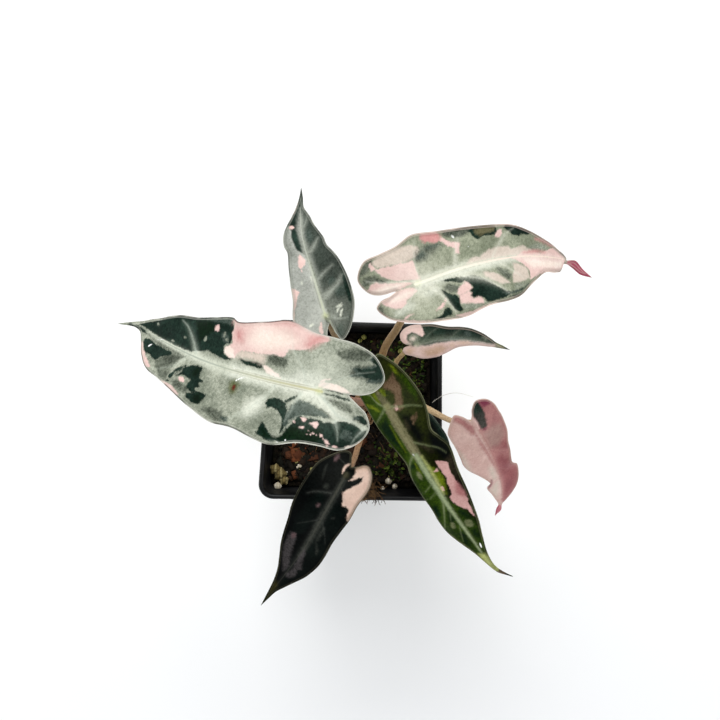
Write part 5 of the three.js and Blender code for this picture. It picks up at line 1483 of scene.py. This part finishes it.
# The small leaf is the youngest. Its soft blade is still folded over the midrib and blushes where
# it turns to the light, and its short pale stalk springs from the right back of the corm.
grow_leaf(
    "small", "cream_leaf",
    midrib=[(29.1, 31.6, 126), (42.1, 34, 126), (58.6, 33.1, 116), (74.6, 29.5, 102)],
    fold=(10, -25), curl=(10, 30), half_width=9,
    left=[(49, 0.9, 0), (43.5, 1.5, 0), (38, 2.9, 0), (32, 4.4, 0.3), (26, 5.6, 0), (20, 5.8, 0.8),
          (13.5, 5.8, 1.2), (8, 7.9, -0.3), (2, 9, 0.6), (-1.5, 9.1, 0.8), (-4.5, 8.2, 0.6),
          (-6.6, 6.2, 0.3), (-6.9, 3.8, 0), (-6, 2, 0), (-4.8, 1, 0), (-3.5, 0.3, 0)],
    right=[(49, -0.6, 0), (43.5, -1.1, 0), (38, -1.8, 0), (32, -2.3, 0), (26, -3.2, 0.3), (20.5, -4.6, 0.5),
           (15, -9, 0), (9, -10.2, 0.4), (3, -9.9, 0), (-0.5, -7.6, 0.2), (-3, -5.8, 0), (-5.6, -4.2, 0),
           (-6.9, -2.2, 0), (-6.3, -0.6, 0), (-5, 0.1, 0), (-3.5, 0.3, 0)],
    base=45, stalk=[(18.5, 15, 91), (20.4, 23.8, 106), (25.8, 29.8, 118)],
    stalk_radius=(1.6, 0.9), stalk_skin=((146, 120, 84), (176, 150, 108), (186, 162, 122)),
    ground="deep",
    markings=[
        # the slate dab beside the midrib is a painted highlight; the slate streak is the midrib's own
        # colour
        ("slate", 1.2, 0.9, [
            stroke(2.2, (1, 0), (11, -0.4), (22, 0.2), (32, 0.4)), dab(24.4, 3, 2.6, 3.4, 50)]),
        ("blush", 0.8, 0.8, [
            [(-7, 0.6), (0, -0.4), (5, -1.4), (12, -1.2), (20, -0.3), (30, -0.2), (42, 0.2), (50, -0.3),
             (30, -3.4), (20, -6.4), (15, -11), (3, -12), (-7, -6)]]),
        ("sand", 1.8, 1.2, [
            [(1.6, -3.2), (6, -2.8), (12, -2.8), (15, -4), (14, -7), (8, -8), (3, -7.4)],
            dab(17.4, -3, 3, 2.2), stroke(1.2, (20, -1.6), (24, -1.4), (28, -1.4)),
            dab(-3.6, -2.4, 3, 3)]),
        ("blush", 0.5, 0.8, [
            [(-7, 2), (-7.4, 5), (-4.5, 8.8), (-1.5, 9.8), (2, 9.7), (3.8, 8.4), (4.2, 6), (4.4, 4),
             (3.4, 3.2), (1.8, 4), (0.5, 5.2), (-1.5, 6), (-3.4, 5.2), (-4.2, 3.4), (-3.4, 1.8), (-5, 1)]]),
        ("grey", 0.8, 0.9, [
            [(-3.8, 3.2), (-3.2, 5), (-1.4, 5.6), (0.6, 4.8), (2.2, 3.4), (1, 1.8), (-1.4, 1.4)],
            dab(35, 2.1, 4.4, 1, -12)]),
        ("taupe", 1.0, 0.9, [dab(-1.4, 3.2, 2.8, 1.8, 15), dab(-3.4, 1.2, 2.6, 1.2)]),
        ("moss", 1.6, 0.6, [[(43.4, -3), (43.4, 3), (50, 3), (50, -3)]]),
    ],
    veins=[
        (0.4, (3, 1), (7, 4), (11, 6)), (0.4, (16, 1), (19, 4), (22, 5.4)),
        (0.3, (8, -1), (11, -5), (13, -8))],
    look={"glow": (176, 176, 154), "glow_share": 0.15, "halo_share": 0.1, "vein": (150, 156, 140),
          "vein_share": 0.25, "rib_share": 0.12, "flank_share": 0, "rib_foot": (196, 190, 166),
          "knot": (200, 204, 176), "margin": (150, 134, 120), "margin_line": (214, 190, 176),
          "rib_width": 0.9, "hem_share": 0.15, "painted_edge_shade": 0.25},
    sheath=12)


# The front leaf is mostly plain leaf green with a rose streak, and one half is turned steeply
# down. Its stalk rises straight from the middle of the corm, where no sheath is left on it.
grow_leaf(
    "front", "green_leaf",
    midrib=[(14.2, 5.6, 172), (25.9, -13.6, 166), (38.7, -33.7, 158), (52.3, -53.1, 145),
            (62.8, -67.1, 134), (73, -73.8, 122)],
    fold=(6, -28), curl=(10, 34), half_width=15,
    left=[(103, 0.7, 0), (94, 1, 0), (85, 2.2, 0), (76, 4.7, 0), (67, 7.2, 0.8), (58, 9.4, -0.4),
          (49, 10.7, 1), (40, 12.1, -0.6), (29.5, 14.3, -1.4), (22.5, 12.6, 1), (17, 11.2, 2.4),
          (11, 13.5, 0.6), (5, 15, -1), (-2, 14.8, 0.8), (-9, 13.8, 0.4), (-15, 11.8, 0), (-20, 8.5, -0.6),
          (-18.5, 4.5, 0), (-14, 2, 0.4), (-10, 0, 0)],
    right=[(103, -1, 0), (94, -1.5, 0), (85, -3.3, 0), (77, -6.3, 0.6), (70, -9.6, -0.8), (61, -9.9, 0.6),
           (52, -8.9, 1.4), (43, -9.5, 0), (35, -9, -0.8), (28, -6.8, 1.6), (22, -7.4, 1.6), (15, -9.2, 0),
           (7, -10.2, -0.6), (0, -9.8, 0.4), (-8, -9.4, 0.4), (-15, -8.6, 0), (-20, -6.2, -0.4),
           (-18.5, -3.4, 0), (-14, -1.6, 0.4), (-10, 0, 0)],
    base=None, stalk=[(12.6, 4.6, 108), (14, 5, 142)],
    stalk_radius=(2.2, 1.4), stalk_skin=((150, 122, 88), (150, 130, 84), (140, 126, 70)),
    ground="olive",
    markings=[
        ("black", 1.8, 1.2, [
            [(17, 9.4), (24, 7), (33, 8.4), (36, 12.6), (29, 13.6), (22, 11.8)],
            [(5, 3), (16, 3), (22, 4), (18, 7), (8, 6.6)],
            [(43.6, 8.8), (48, 8.6), (52.5, 8.8), (53.6, 10), (48, 10.6), (43.6, 10.2)]]),
        # painted light: the half turned steeply down is painted lighter green where light falls on it; the
        # two smaller grass patches are the tissue's own colour
        ("grass", 1.2, 1.0, [
            [(-20, 0.2), (0, -0.5), (30, -0.5), (60, -0.4), (103, -0.2), (103, -3), (70, -12), (40, -12),
             (0, -12), (-22, -9)],
            [(49, 1), (53, 2.8), (58, 4.6), (66, 5.8), (73, 5), (80, 3.6), (88, 0.8)],
            [(-9, 11), (-2, 11.4), (4, 12), (0, 14), (-8, 13.4)]]),
        ("forest", 1.6, 1.2, [
            [(4, -3), (14, -3), (20, -4), (14, -7.6), (8, -8.6)], dab(29, -4.4, 3, 4),
            dab(54, -7, 9, 3, -16), dab(60, 3.6, 6, 2, 20), dab(73, 2.6, 6, 1.6),
            dab(60, -2.8, 8, 1.6, -14), dab(73, -3, 8, 2, -14)]),
        ("umber", 1.4, 1.2, [
            [(33, 9.8), (38, 9.2), (44, 9.6), (44, 11.4), (38, 12.6), (33, 13)],
            stroke(1.6, (20, 3.4), (23, 5), (27, 6.4)), stroke(1.4, (9, 3.4), (13, 3.2))]),
        ("leaf_gold", 0.7, 1.0, [
            [(-14.5, 9.8), (-10, 10), (-9, 11), (-13, 11.2)],
            [(-7.8, 0.5), (-4.4, 0.7), (-4.2, 2.4), (-7.4, 2.7)],
            [(31, 2.2), (33, 3.6), (36, 5), (39.6, 4.8), (44, 3.6), (47.4, 2.2), (40, 1.9)],
            [(-7.6, -1), (-1.4, -1), (-2.4, -2.6), (-7.4, -3.4)], stroke(1.6, (1, -4), (-2, -6), (-4, -9)),
            stroke(1, (-9, -1), (-13, -2.4)), stroke(0.8, (8, -3), (16, -3.4), (22, -3.2)),
            stroke(1.2, (28, -2.4), (34, -2.6))]),
        ("tan_brown", 0.8, 0.9, [
            [(-11, 9.4), (-8.5, 9), (-5, 9.2), (-1, 7.8), (3.8, 5.8), (4.2, 4), (3.4, 2.2), (1, 1.8),
             (0.2, 4.2), (-3, 5.4), (-5.5, 5), (-7.5, 3), (-9, 3.4), (-9.5, 7)],
            stroke(0.9, (8.4, 9.4), (10, 8), (10.6, 6.8), (12, 5.8)), dab(9.6, 7, 1.6, 1.8)]),
        ("khaki", 0.8, 0.8, [
            [(-8, 0.4), (-4, 1.4), (0, 1.9), (6, 2), (14, 2.1), (21, 2.2), (26, 1.8), (27, -1.4),
             (20, -1.8), (10, -1.9), (2, -1.6), (-1, -1.4), (-8, -0.8)]]),
        ("pale_rib", 0.8, 0.5, [
            [(23, -0.9), (30, -1.2), (40, -1.4), (50, -1.3), (60, -0.9), (70, -0.6), (84, -0.3), (84, 0.2),
             (70, 0.5), (60, 0.6), (50, 0.8), (40, 0.9), (30, 1.1), (24, 1)]]),
        # the moss oval at (34, -3.7) is a painted sheen; the other moss patches are the tissue's own colour
        ("moss", 0.7, 0.8, [
            dab(66, 2.9, 5.2, 3, 10), dab(64.2, -4, 4, 2, -20), dab(34, -3.7, 4.4, 2.2, -10),
            [(67, -10.6), (77, -7.6), (86, -3.6), (85, -2.4), (77, -4.8), (70, -8)]]),
        ("salmon", 0.35, 0.9, [
            [(31, 5.6), (33, 8.3), (34.5, 9.6), (37.5, 9.1), (39, 8.3), (43, 8.6), (46, 8.1), (48.5, 7.8),
             (51, 8.4), (54.8, 8.7), (56, 7.6), (60, 7.4), (64.6, 6.5), (62, 6), (59, 5.8), (57.5, 4.6),
             (55, 3.6), (52, 2.4), (49, 2.6), (48, 4.1), (45, 4.6), (42, 5), (40.5, 5.9), (37, 5.6),
             (35, 5.4)],
            [(34.2, 4.6), (35.8, 4.8), (35.6, 3.2), (34.6, 2.6)],
            [(42.5, 2.6), (45, 2.4), (44.5, 1.4), (42.5, 1.5)], dab(2.4, 3.2, 1.4, 2.4, 60)]),
        ("dusk", 1.2, 0.8, [[(44, 8.4), (46, 6.6), (49, 5.8), (51.6, 7), (53, 8.8), (50, 9.2)]]),
        ("lime", 1.2, 0.6, [
            [(85, 0.3), (90, 3), (100.4, 3), (100.4, -3), (90, -3), (84, -2)],
            stroke(0.6, (26, 1.7), (34, 1.8), (46, 1.3))]),
        ("tan_brown", 0.8, 0.4, [[(100, -3), (100, 3), (106, 3), (106, -3)]]),
        # painted highlights: small white glints of light on the blade
        ("glint", 0.2, 0.3, [stroke(0.7, (78.4, 1.7), (80, 1.4), (81.8, 1.2)), dab(24, -0.9, 1.3, 0.9)]),
    ],
    veins=[
        (1.2, (1, 2), (2.8, 5), (4.4, 8.6), (7.4, 12.6)), (0.5, (19, 2), (23, 6), (27, 9.6), (31, 11.4)),
        (1.2, (0.4, -1), (3, -5), (6.4, -10)), (1, (-0.4, -1), (-3, -2.8), (-7, -3.8), (-14, -5)),
        (0.7, (-7, -3.8), (-8.2, -6), (-8.4, -9)), (1.2, (24.4, -1.4), (27.4, -5), (32, -7.6), (36, -9)),
        (1.1, (50, -1.2), (55, -3.6), (60, -6), (66, -9)), (0.4, (66, -1.6), (70, -3), (75, -4.6)),
        (0.4, (40, -2), (42, -5), (43, -8)), (0.4, (44.5, -2), (46, -5), (46.6, -8)),
        (0.4, (57, -1.6), (61, -3.4))],
    look={"glow": (120, 132, 92), "glow_share": 0.12, "halo_share": 0.08, "vein": (128, 138, 100),
          "vein_share": 0.75, "rib_share": 0.12, "rib_foot": (150, 142, 104), "rib_tip": (196, 204, 160),
          "flank": (50, 58, 22), "flank_share": 0.2, "margin": (58, 62, 44), "margin_line": (112, 114, 86),
          "knot_share": 0.1, "rib_width": 1.4, "sheen": 0.02})


# The pink leaf has hardly any green, only a bottle-green patch at its stalk. It is dusty rose all
# over and so weak that it hangs low over the right rim on a pale, curving stalk.
grow_leaf(
    "pink", "pink_leaf",
    midrib=[(57.2, -7.6, 120), (65.1, -20.5, 108), (71.7, -34.7, 90), (73.8, -47.8, 72), (72.5, -55.1, 60)],
    fold=(-6, -6), curl=(10, 10), half_width=14,
    left=[(72, 1.2, 0), (65.5, 0.8, 0), (60.5, 3, 0), (55, 5.8, 0), (49, 8.4, 0), (43, 10, -0.4),
          (37.5, 10.6, -1), (30, 8.1, 1.4), (23.5, 9.7, 0), (16.5, 10.3, 1), (11, 12.8, 0), (4, 13.9, -1),
          (-2, 13.4, 0.6), (-7, 13, 0.4), (-11.5, 10.6, 0), (-13.8, 6, -0.4), (-12, 2.6, 0), (-9.5, 1, 0.3),
          (-7.2, -0.7, 0)],
    right=[(72, -1.3, 0), (65.5, -1.1, 0), (60.5, -2.9, 0), (55, -4.8, 0), (49.5, -6.8, 0), (43.5, -7, 1),
           (37, -5.4, 2.4), (31, -9, 0.6), (25.5, -12.6, -0.6), (18.5, -14, 0), (11.5, -13.6, 0.8),
           (4, -13, 0), (-2, -13.1, 0.4), (-6.5, -12.6, 0.4), (-10.5, -9.4, 0), (-13.2, -6, -0.4),
           (-11.5, -3.4, 0), (-9.3, -1.9, 0.3), (-7.2, -0.7, 0)],
    base=-5, stalk=[(21.5, 6, 90), (27.5, 5.8, 102), (35.2, 1.9, 108), (46, -3.4, 113)],
    stalk_radius=(2.1, 1.1), stalk_skin=((150, 122, 84), (186, 162, 122), (196, 168, 134)),
    ground="petal",
    markings=[
        # painted shade: the half left of the midrib is painted darker dusky pink, for the side turned away
        # from the light
        ("dusk", 0.8, 1.0, [
            [(-14, 2), (-4, 0.4), (10, 0), (26, -0.4), (40, -0.4), (60, 0), (66, 2), (55, 8), (42, 12),
             (20, 12), (4, 15), (-12, 13)]]),
        ("petal_grey", 2.6, 1.6, [
            [(3, 1), (13, 0.6), (15, 5), (12, 11), (6, 12), (3, 7)], dab(27, 9, 8, 1.6, -20)]),
        ("dusk_deep", 2.2, 1.4, [
            [(22, 1), (34, 0.8), (46, 1), (58, 1.2), (54, 5), (44, 7.4), (38, 8.6), (33, 6), (26, 6.6),
             (22, 4)],
            dab(17, 8, 5, 3)]),
        ("dusk", 1.2, 1.0, [
            [(-12.4, -4.4), (-8, -2.4), (-4, -0.8), (1, -1.2), (1, -3), (-3, -4.2), (-8, -5.4),
             (-10.6, -7.6), (-13, -7)],
            stroke(1.5, (0, -1.6), (10, -1.5), (22, -0.8), (34, -0.4))]),
        ("taupe", 2.4, 1.4, [
            dab(32, -2.6, 12, 2), dab(18, -12.6, 22, 2),
            [(40, -1.4), (50, -1.6), (58, -2.4), (50, -5.4), (42, -4)]]),
        ("deep", 0.7, 0.9, [
            [(-14.4, 2.4), (-14, 6.8), (-9, 6.8), (-5, 6.2), (-4, 4.4), (-5, 2.2), (-8, 1.5), (-11, 1.3)]]),
        ("smoke", 0.9, 0.9, [[(-9, 2), (-8, 6.4), (-3, 6), (1, 4.8), (1.8, 3.2), (0, 1.7), (-5, 1.6)]]),
        ("wine", 1.0, 0.8, [
            [(-13.8, 6.8), (-12.8, 10), (-10.5, 11.8), (-8.2, 12.2), (-8.8, 9), (-9.6, 7.2)],
            stroke(1.8, (35.6, -4.6), (40, -5.2), (44, -6.2), (48.4, -7.2)), dab(1.6, 3.2, 1.4, 1.8)]),
        ("blush", 0.7, 0.7, [stroke(1.1, (-9, 0.5), (-5, 1), (-1, 0.9))]),
        ("magenta", 1.0, 0.5, [[(65.5, -3), (65.5, 3), (80, 3), (80, -3)]]),
    ],
    veins=[
        (0.6, (1, 1), (5, 5), (8, 10)), (0.6, (14, 1), (18, 4), (22, 8)), (0.4, (30, 1), (34, 4), (38, 8)),
        (0.6, (4, -2), (8, -7), (10, -12)), (0.5, (17, -2), (22, -6), (26, -10)),
        (0.4, (-2, -2), (-6, -6), (-9, -9))],
    look={"glow": (212, 184, 174), "glow_share": 0.12, "halo_share": 0.1, "vein": (208, 176, 166),
          "vein_share": 0.16, "rib_foot": (180, 144, 134), "rib_tip": (176, 136, 130), "rib_share": 0.25,
          "flank": (130, 84, 82), "flank_share": 0.25, "margin": (176, 142, 132),
          "margin_line": (206, 180, 168), "knot_share": 0, "painted_edge_shade": 0.2},
    sheath=14)


# The dark leaf at the front left is thick, very dark green tissue with one pink-beige lobe, painted
# nearly black, partly as painted shade where it tilts away from the light. Its stalk leans out of the
# front of the corm, and the blade reaches far beyond the near rim.
grow_leaf(
    "dark", "dark_leaf",
    midrib=[(-2.7, -25.3, 142), (-11.9, -41.7, 140), (-22.1, -60.1, 130), (-42.7, -89.2, 112)],
    fold=(6, 2), curl=(8, 10), half_width=14,
    left=[(76, 0.8, 0), (70.5, 1.6, 0), (65, 3.6, 0), (59, 6, 0), (53, 8.2, 0.3), (46, 9.7, 0),
          (39, 9.8, 0.8), (31, 9.4, 1), (24, 10.3, 0), (17, 11.2, -0.6), (9.5, 11, 0.6), (2, 12, 0),
          (-2.5, 11.4, 0.4), (-6, 9.8, 0.2), (-8.2, 7, 0), (-7.6, 4.6, 0), (-6, 3, 0), (-5, 1.6, 0),
          (-4.2, 0.3, 0)],
    right=[(76, -0.9, 0), (70.5, -1.7, 0), (65, -2.7, 0), (59, -4.4, 0), (53, -7, 0), (46, -10, 0.4),
           (39, -12, 0), (31, -13.4, -0.6), (24, -14.6, 0), (17, -15.2, 0.6), (9.5, -15, 0),
           (2.5, -14, -0.4), (-2, -12, 0.3), (-6, -9, 0.2), (-9, -6, 0), (-9.6, -3, 0), (-7.6, -1.4, 0),
           (-5.8, -0.5, 0), (-4.2, 0.3, 0)],
    base=-120, stalk=[(6, -5.6, 94), (3.4, -12.4, 112), (0.2, -21, 131)],
    stalk_radius=(1.9, 1.1), stalk_skin=((160, 124, 92), (182, 144, 110), (150, 120, 92)),
    # the near-black ground is partly painted shade over very dark green tissue
    ground="black",
    markings=[
        ("night", 1.8, 1.4, [
            [(12, 1), (30, 1), (50, 1), (62, 1), (56, 6), (44, 8.6), (24, 9), (14, 8)],
            dab(24, -6, 26, 7, -6)]),
        ("smoke", 1.1, 1.0, [
            [(2, 1), (12, 1.2), (25, 1.5), (38, 1.2), (46, 1), (46, -0.6), (38, -1.2), (25, -1.3), (12, -1),
             (2, -0.8)],
            stroke(0.9, (35, 3), (37.4, 5), (39.8, 6)), stroke(0.5, (0, -9.4), (3, -9), (6.4, -8.4)),
            dab(8.6, -5.2, 2, 2), stroke(0.6, (19, 4.8), (20, 4)), dab(30, 3, 8, 1.6)]),
        ("ash", 0.9, 1.2, [
            [(41, 0.6), (44, 2), (48, 3.2), (51, 4.6), (53, 3.4), (56, 4), (59, 2.6), (60, 1), (58, 0.2),
             (54, 1.2), (50, 0.6), (45, 0)],
            [(36, -7), (38, -5.6), (44, -4.4), (49, -3), (53, -1.2), (57, -1), (58, -2), (54, -4.4),
             (50, -6.6), (45, -8.4), (40, -9), (37, -8.6)]]),
        ("rose_grey", 0.9, 1.0, [dab(38, -7.2, 3, 2), dab(-4.8, -7.2, 3.4, 1.5), dab(17.6, -4, 1.7, 1.4)]),
        ("shell", 0.45, 0.9, [
            [(-9, 8), (-6, 11.5), (0, 13.6), (6, 13), (12, 12.8), (18, 12.2), (17.5, 10), (15, 9),
             (12.6, 8.6), (12, 7), (12.8, 5), (10, 4), (7.6, 2.2), (6, 3.2), (3.4, 4.8), (1, 6.6),
             (-1, 7.2), (-3.2, 7), (-1.4, 5.2), (0.4, 3.8), (1.4, 2.4), (-0.6, 3.2), (-3, 3.2), (-5, 2.6),
             (-6.4, 3.4), (-8, 5)],
            stroke(1.1, (-5.6, -0.4), (-3, -1.9), (0.6, -1.7))]),
        ("sand", 1.6, 1.0, [
            stroke(1.4, (-7.4, 7), (-6, 3.6), (-4, 2.6)), stroke(1.4, (16, 10), (8, 12), (0, 12.2))]),
        ("black", 0.35, 0.6, [dab(-1.9, 0.9, 6.6, 3.4, -4)]),
        ("gold", 2.4, 0.8, [[(65, -3.6), (67, 3.4), (82, 3), (82, -3)]]),
        ("night", 1.2, 0.8, [[(60, 0.8), (60, 3.8), (68, 2.6), (72, 0.6)]]),
    ],
    veins=[
        (0.8, (10, -1.6), (11.4, -5), (13, -8.4), (15.4, -11)), (0.4, (24, -1), (27, -4.4), (31, -8.4)),
        (0.4, (6, 1), (10, 5), (14, 8)), (0.4, (24, 1), (28, 4), (33, 7)),
        (0.4, (-4, -2), (-5, -6), (-6, -8))],
    look={"glow": (66, 68, 64), "glow_share": 0.2, "halo_share": 0.1, "vein": (84, 86, 82),
          "vein_share": 0.45, "rib_foot": (84, 82, 72), "rib_tip": (76, 76, 68), "rib_share": 0.25,
          "flank": (20, 22, 18), "flank_share": 0.3, "margin": (40, 40, 32), "margin_line": (78, 76, 62),
          "knot": (96, 92, 66), "sheen": 0.02},
    sheath=15)


# The old leaf is the lowest, a small dark teal blade almost hidden under the front one. It was
# grown first, and its short thin stalk springs from the right front of the corm.
grow_leaf(
    "old", "dark_leaf",
    midrib=[(29.4, -6.5, 97), (34, -16.5, 98.5), (39.5, -28.5, 96), (44.5, -39.5, 93)],
    fold=(6, 6), curl=(12, 12), half_width=12,
    left=[(33, 1.3, 0), (29, 3.6, 0), (25, 6.6, 0), (20.5, 9.8, 0.4), (15.5, 11.6, -0.4), (10.5, 12, 0.4),
          (6, 11.4, 0), (1.5, 10.4, 0.3), (-1.5, 9.6, 0.3), (-4.5, 8.4, 0), (-7, 6.4, 0), (-8, 4, 0),
          (-6.6, 2, 0), (-5, 0.9, 0), (-3.6, 0, 0)],
    right=[(33, -1.3, 0), (29, -3.8, 0), (25, -6.4, 0.3), (20.5, -9, 0), (15.5, -11, -0.4),
           (10.5, -11.8, 0.4), (6, -11.4, 0), (1.5, -10.6, 0), (-1.5, -9.8, 0.3), (-4.5, -8.4, 0),
           (-7, -6.2, 0), (-8, -3.8, 0), (-6.6, -2, 0), (-5, -0.9, 0), (-3.6, 0, 0)],
    base=-55, stalk=[(18.4, -2.4, 85), (24.4, -4.8, 91)],
    stalk_radius=(1.5, 1), stalk_skin=((150, 118, 88), (160, 130, 100), (140, 120, 92)),
    ground="deep",
    markings=[
        ("night", 1.5, 1.2, [stroke(5, (-4, 5), (6, 7), (20, 7)), stroke(5, (-4, -5), (6, -7), (20, -7))]),
    ],
    veins=[
        (0.8, (2, 0.6), (6, 4.6), (11, 9.4)), (0.8, (13, 0.6), (17, 3.6), (22, 6.4)),
        (0.8, (-0.6, 0.6), (-3, 3), (-5, 6)), (0.8, (2, -0.6), (6, -4.6), (11, -9.4)),
        (0.8, (13, -0.6), (17, -3.6), (22, -6.4)), (0.8, (-0.6, -0.6), (-3, -3), (-5, -6))],
    look={"glow": (80, 94, 84), "glow_share": 0.3, "vein": (84, 98, 88), "rib_foot": (110, 120, 102),
          "rib_tip": (84, 96, 86), "margin": (50, 58, 52), "margin_line": (84, 92, 84), "sheen": 0.06},
    sheath=9)


# The plant stands on a plain white paper sweep in soft daylight from a window behind it, and the
# camera looks straight down at it from arm's length.
CAMERA_SPOT = (3.4, 24.8, 608)
IMAGE_WIDTH = 720
FOCAL_PIXELS = 1070
SENSOR = 36
SWEEP_REACH = 1500

sweep_corners = [(x * SWEEP_REACH, y * SWEEP_REACH, 0) for x, y in [(-1, -1), (1, -1), (1, 1), (-1, 1)]]
sweep_mesh = mesh_of("sweep", sweep_corners, [(0, 1, 2, 3)])
sweep = bpy.data.objects.new("sweep", sweep_mesh)
bpy.context.scene.collection.objects.link(sweep)


def paint_sweep(start):
    # painted shade: the sweep is painted darker towards the front, where the window light falls off
    painted_falloff = start.place().part("Y").step(-190, 30)
    return {"Base Color": painted_falloff.blend(tone(234, 235, 237), tone(249, 249, 249))}


white_sweep = finish("white_sweep", {"Roughness": 0.7, "Specular IOR Level": 0.2}, paint_sweep)
sweep_mesh.materials.append(white_sweep)


def add_light(name, spot, size, watts, colour):
    """A soft square light that faces the plant."""
    lamp = bpy.data.lights.new(name, "AREA")
    lamp.shape, lamp.size, lamp.energy, lamp.color = "SQUARE", size * MM, watts, colour
    holder = bpy.data.objects.new(name, lamp)
    holder.location = np.array(spot) * MM
    direction = np.array((0, 0, 120)) - np.array(spot)
    holder.rotation_euler = (
        math.atan2(math.hypot(direction[0], direction[1]), -direction[2]), 0,
        math.atan2(direction[0], -direction[1]) + math.pi)
    bpy.context.scene.collection.objects.link(holder)


add_light("window", (-250, 1500, 1500), 900, 22, (1, 0.99, 0.97))

# the room gives soft light from all round, and its ceiling right above the plant is dark
world = bpy.data.worlds.new("room")
world.use_nodes = True
room = Value(world.node_tree)
direction = room.node("ShaderNodeTexCoord", output="Generated")
height = direction.part("Z")
strength = height.step(0.0, 0.3) * height.step(0.92, 0.62) * 1.6 + 0.06
world.node_tree.links.new(strength.socket, world.node_tree.nodes["Background"].inputs["Strength"])
world.node_tree.nodes["Background"].inputs["Color"].default_value = (0.99, 1, 1, 1)
bpy.context.scene.world = world

lens = bpy.data.cameras.new("camera")
lens.sensor_width = SENSOR
lens.lens = SENSOR * FOCAL_PIXELS / IMAGE_WIDTH
lens.clip_start, lens.clip_end = 0.05, 10
camera = bpy.data.objects.new("camera", lens)
camera.location = np.array(CAMERA_SPOT) * MM
bpy.context.scene.collection.objects.link(camera)
bpy.context.scene.camera = camera
bpy.context.scene.view_settings.view_transform = "Standard"
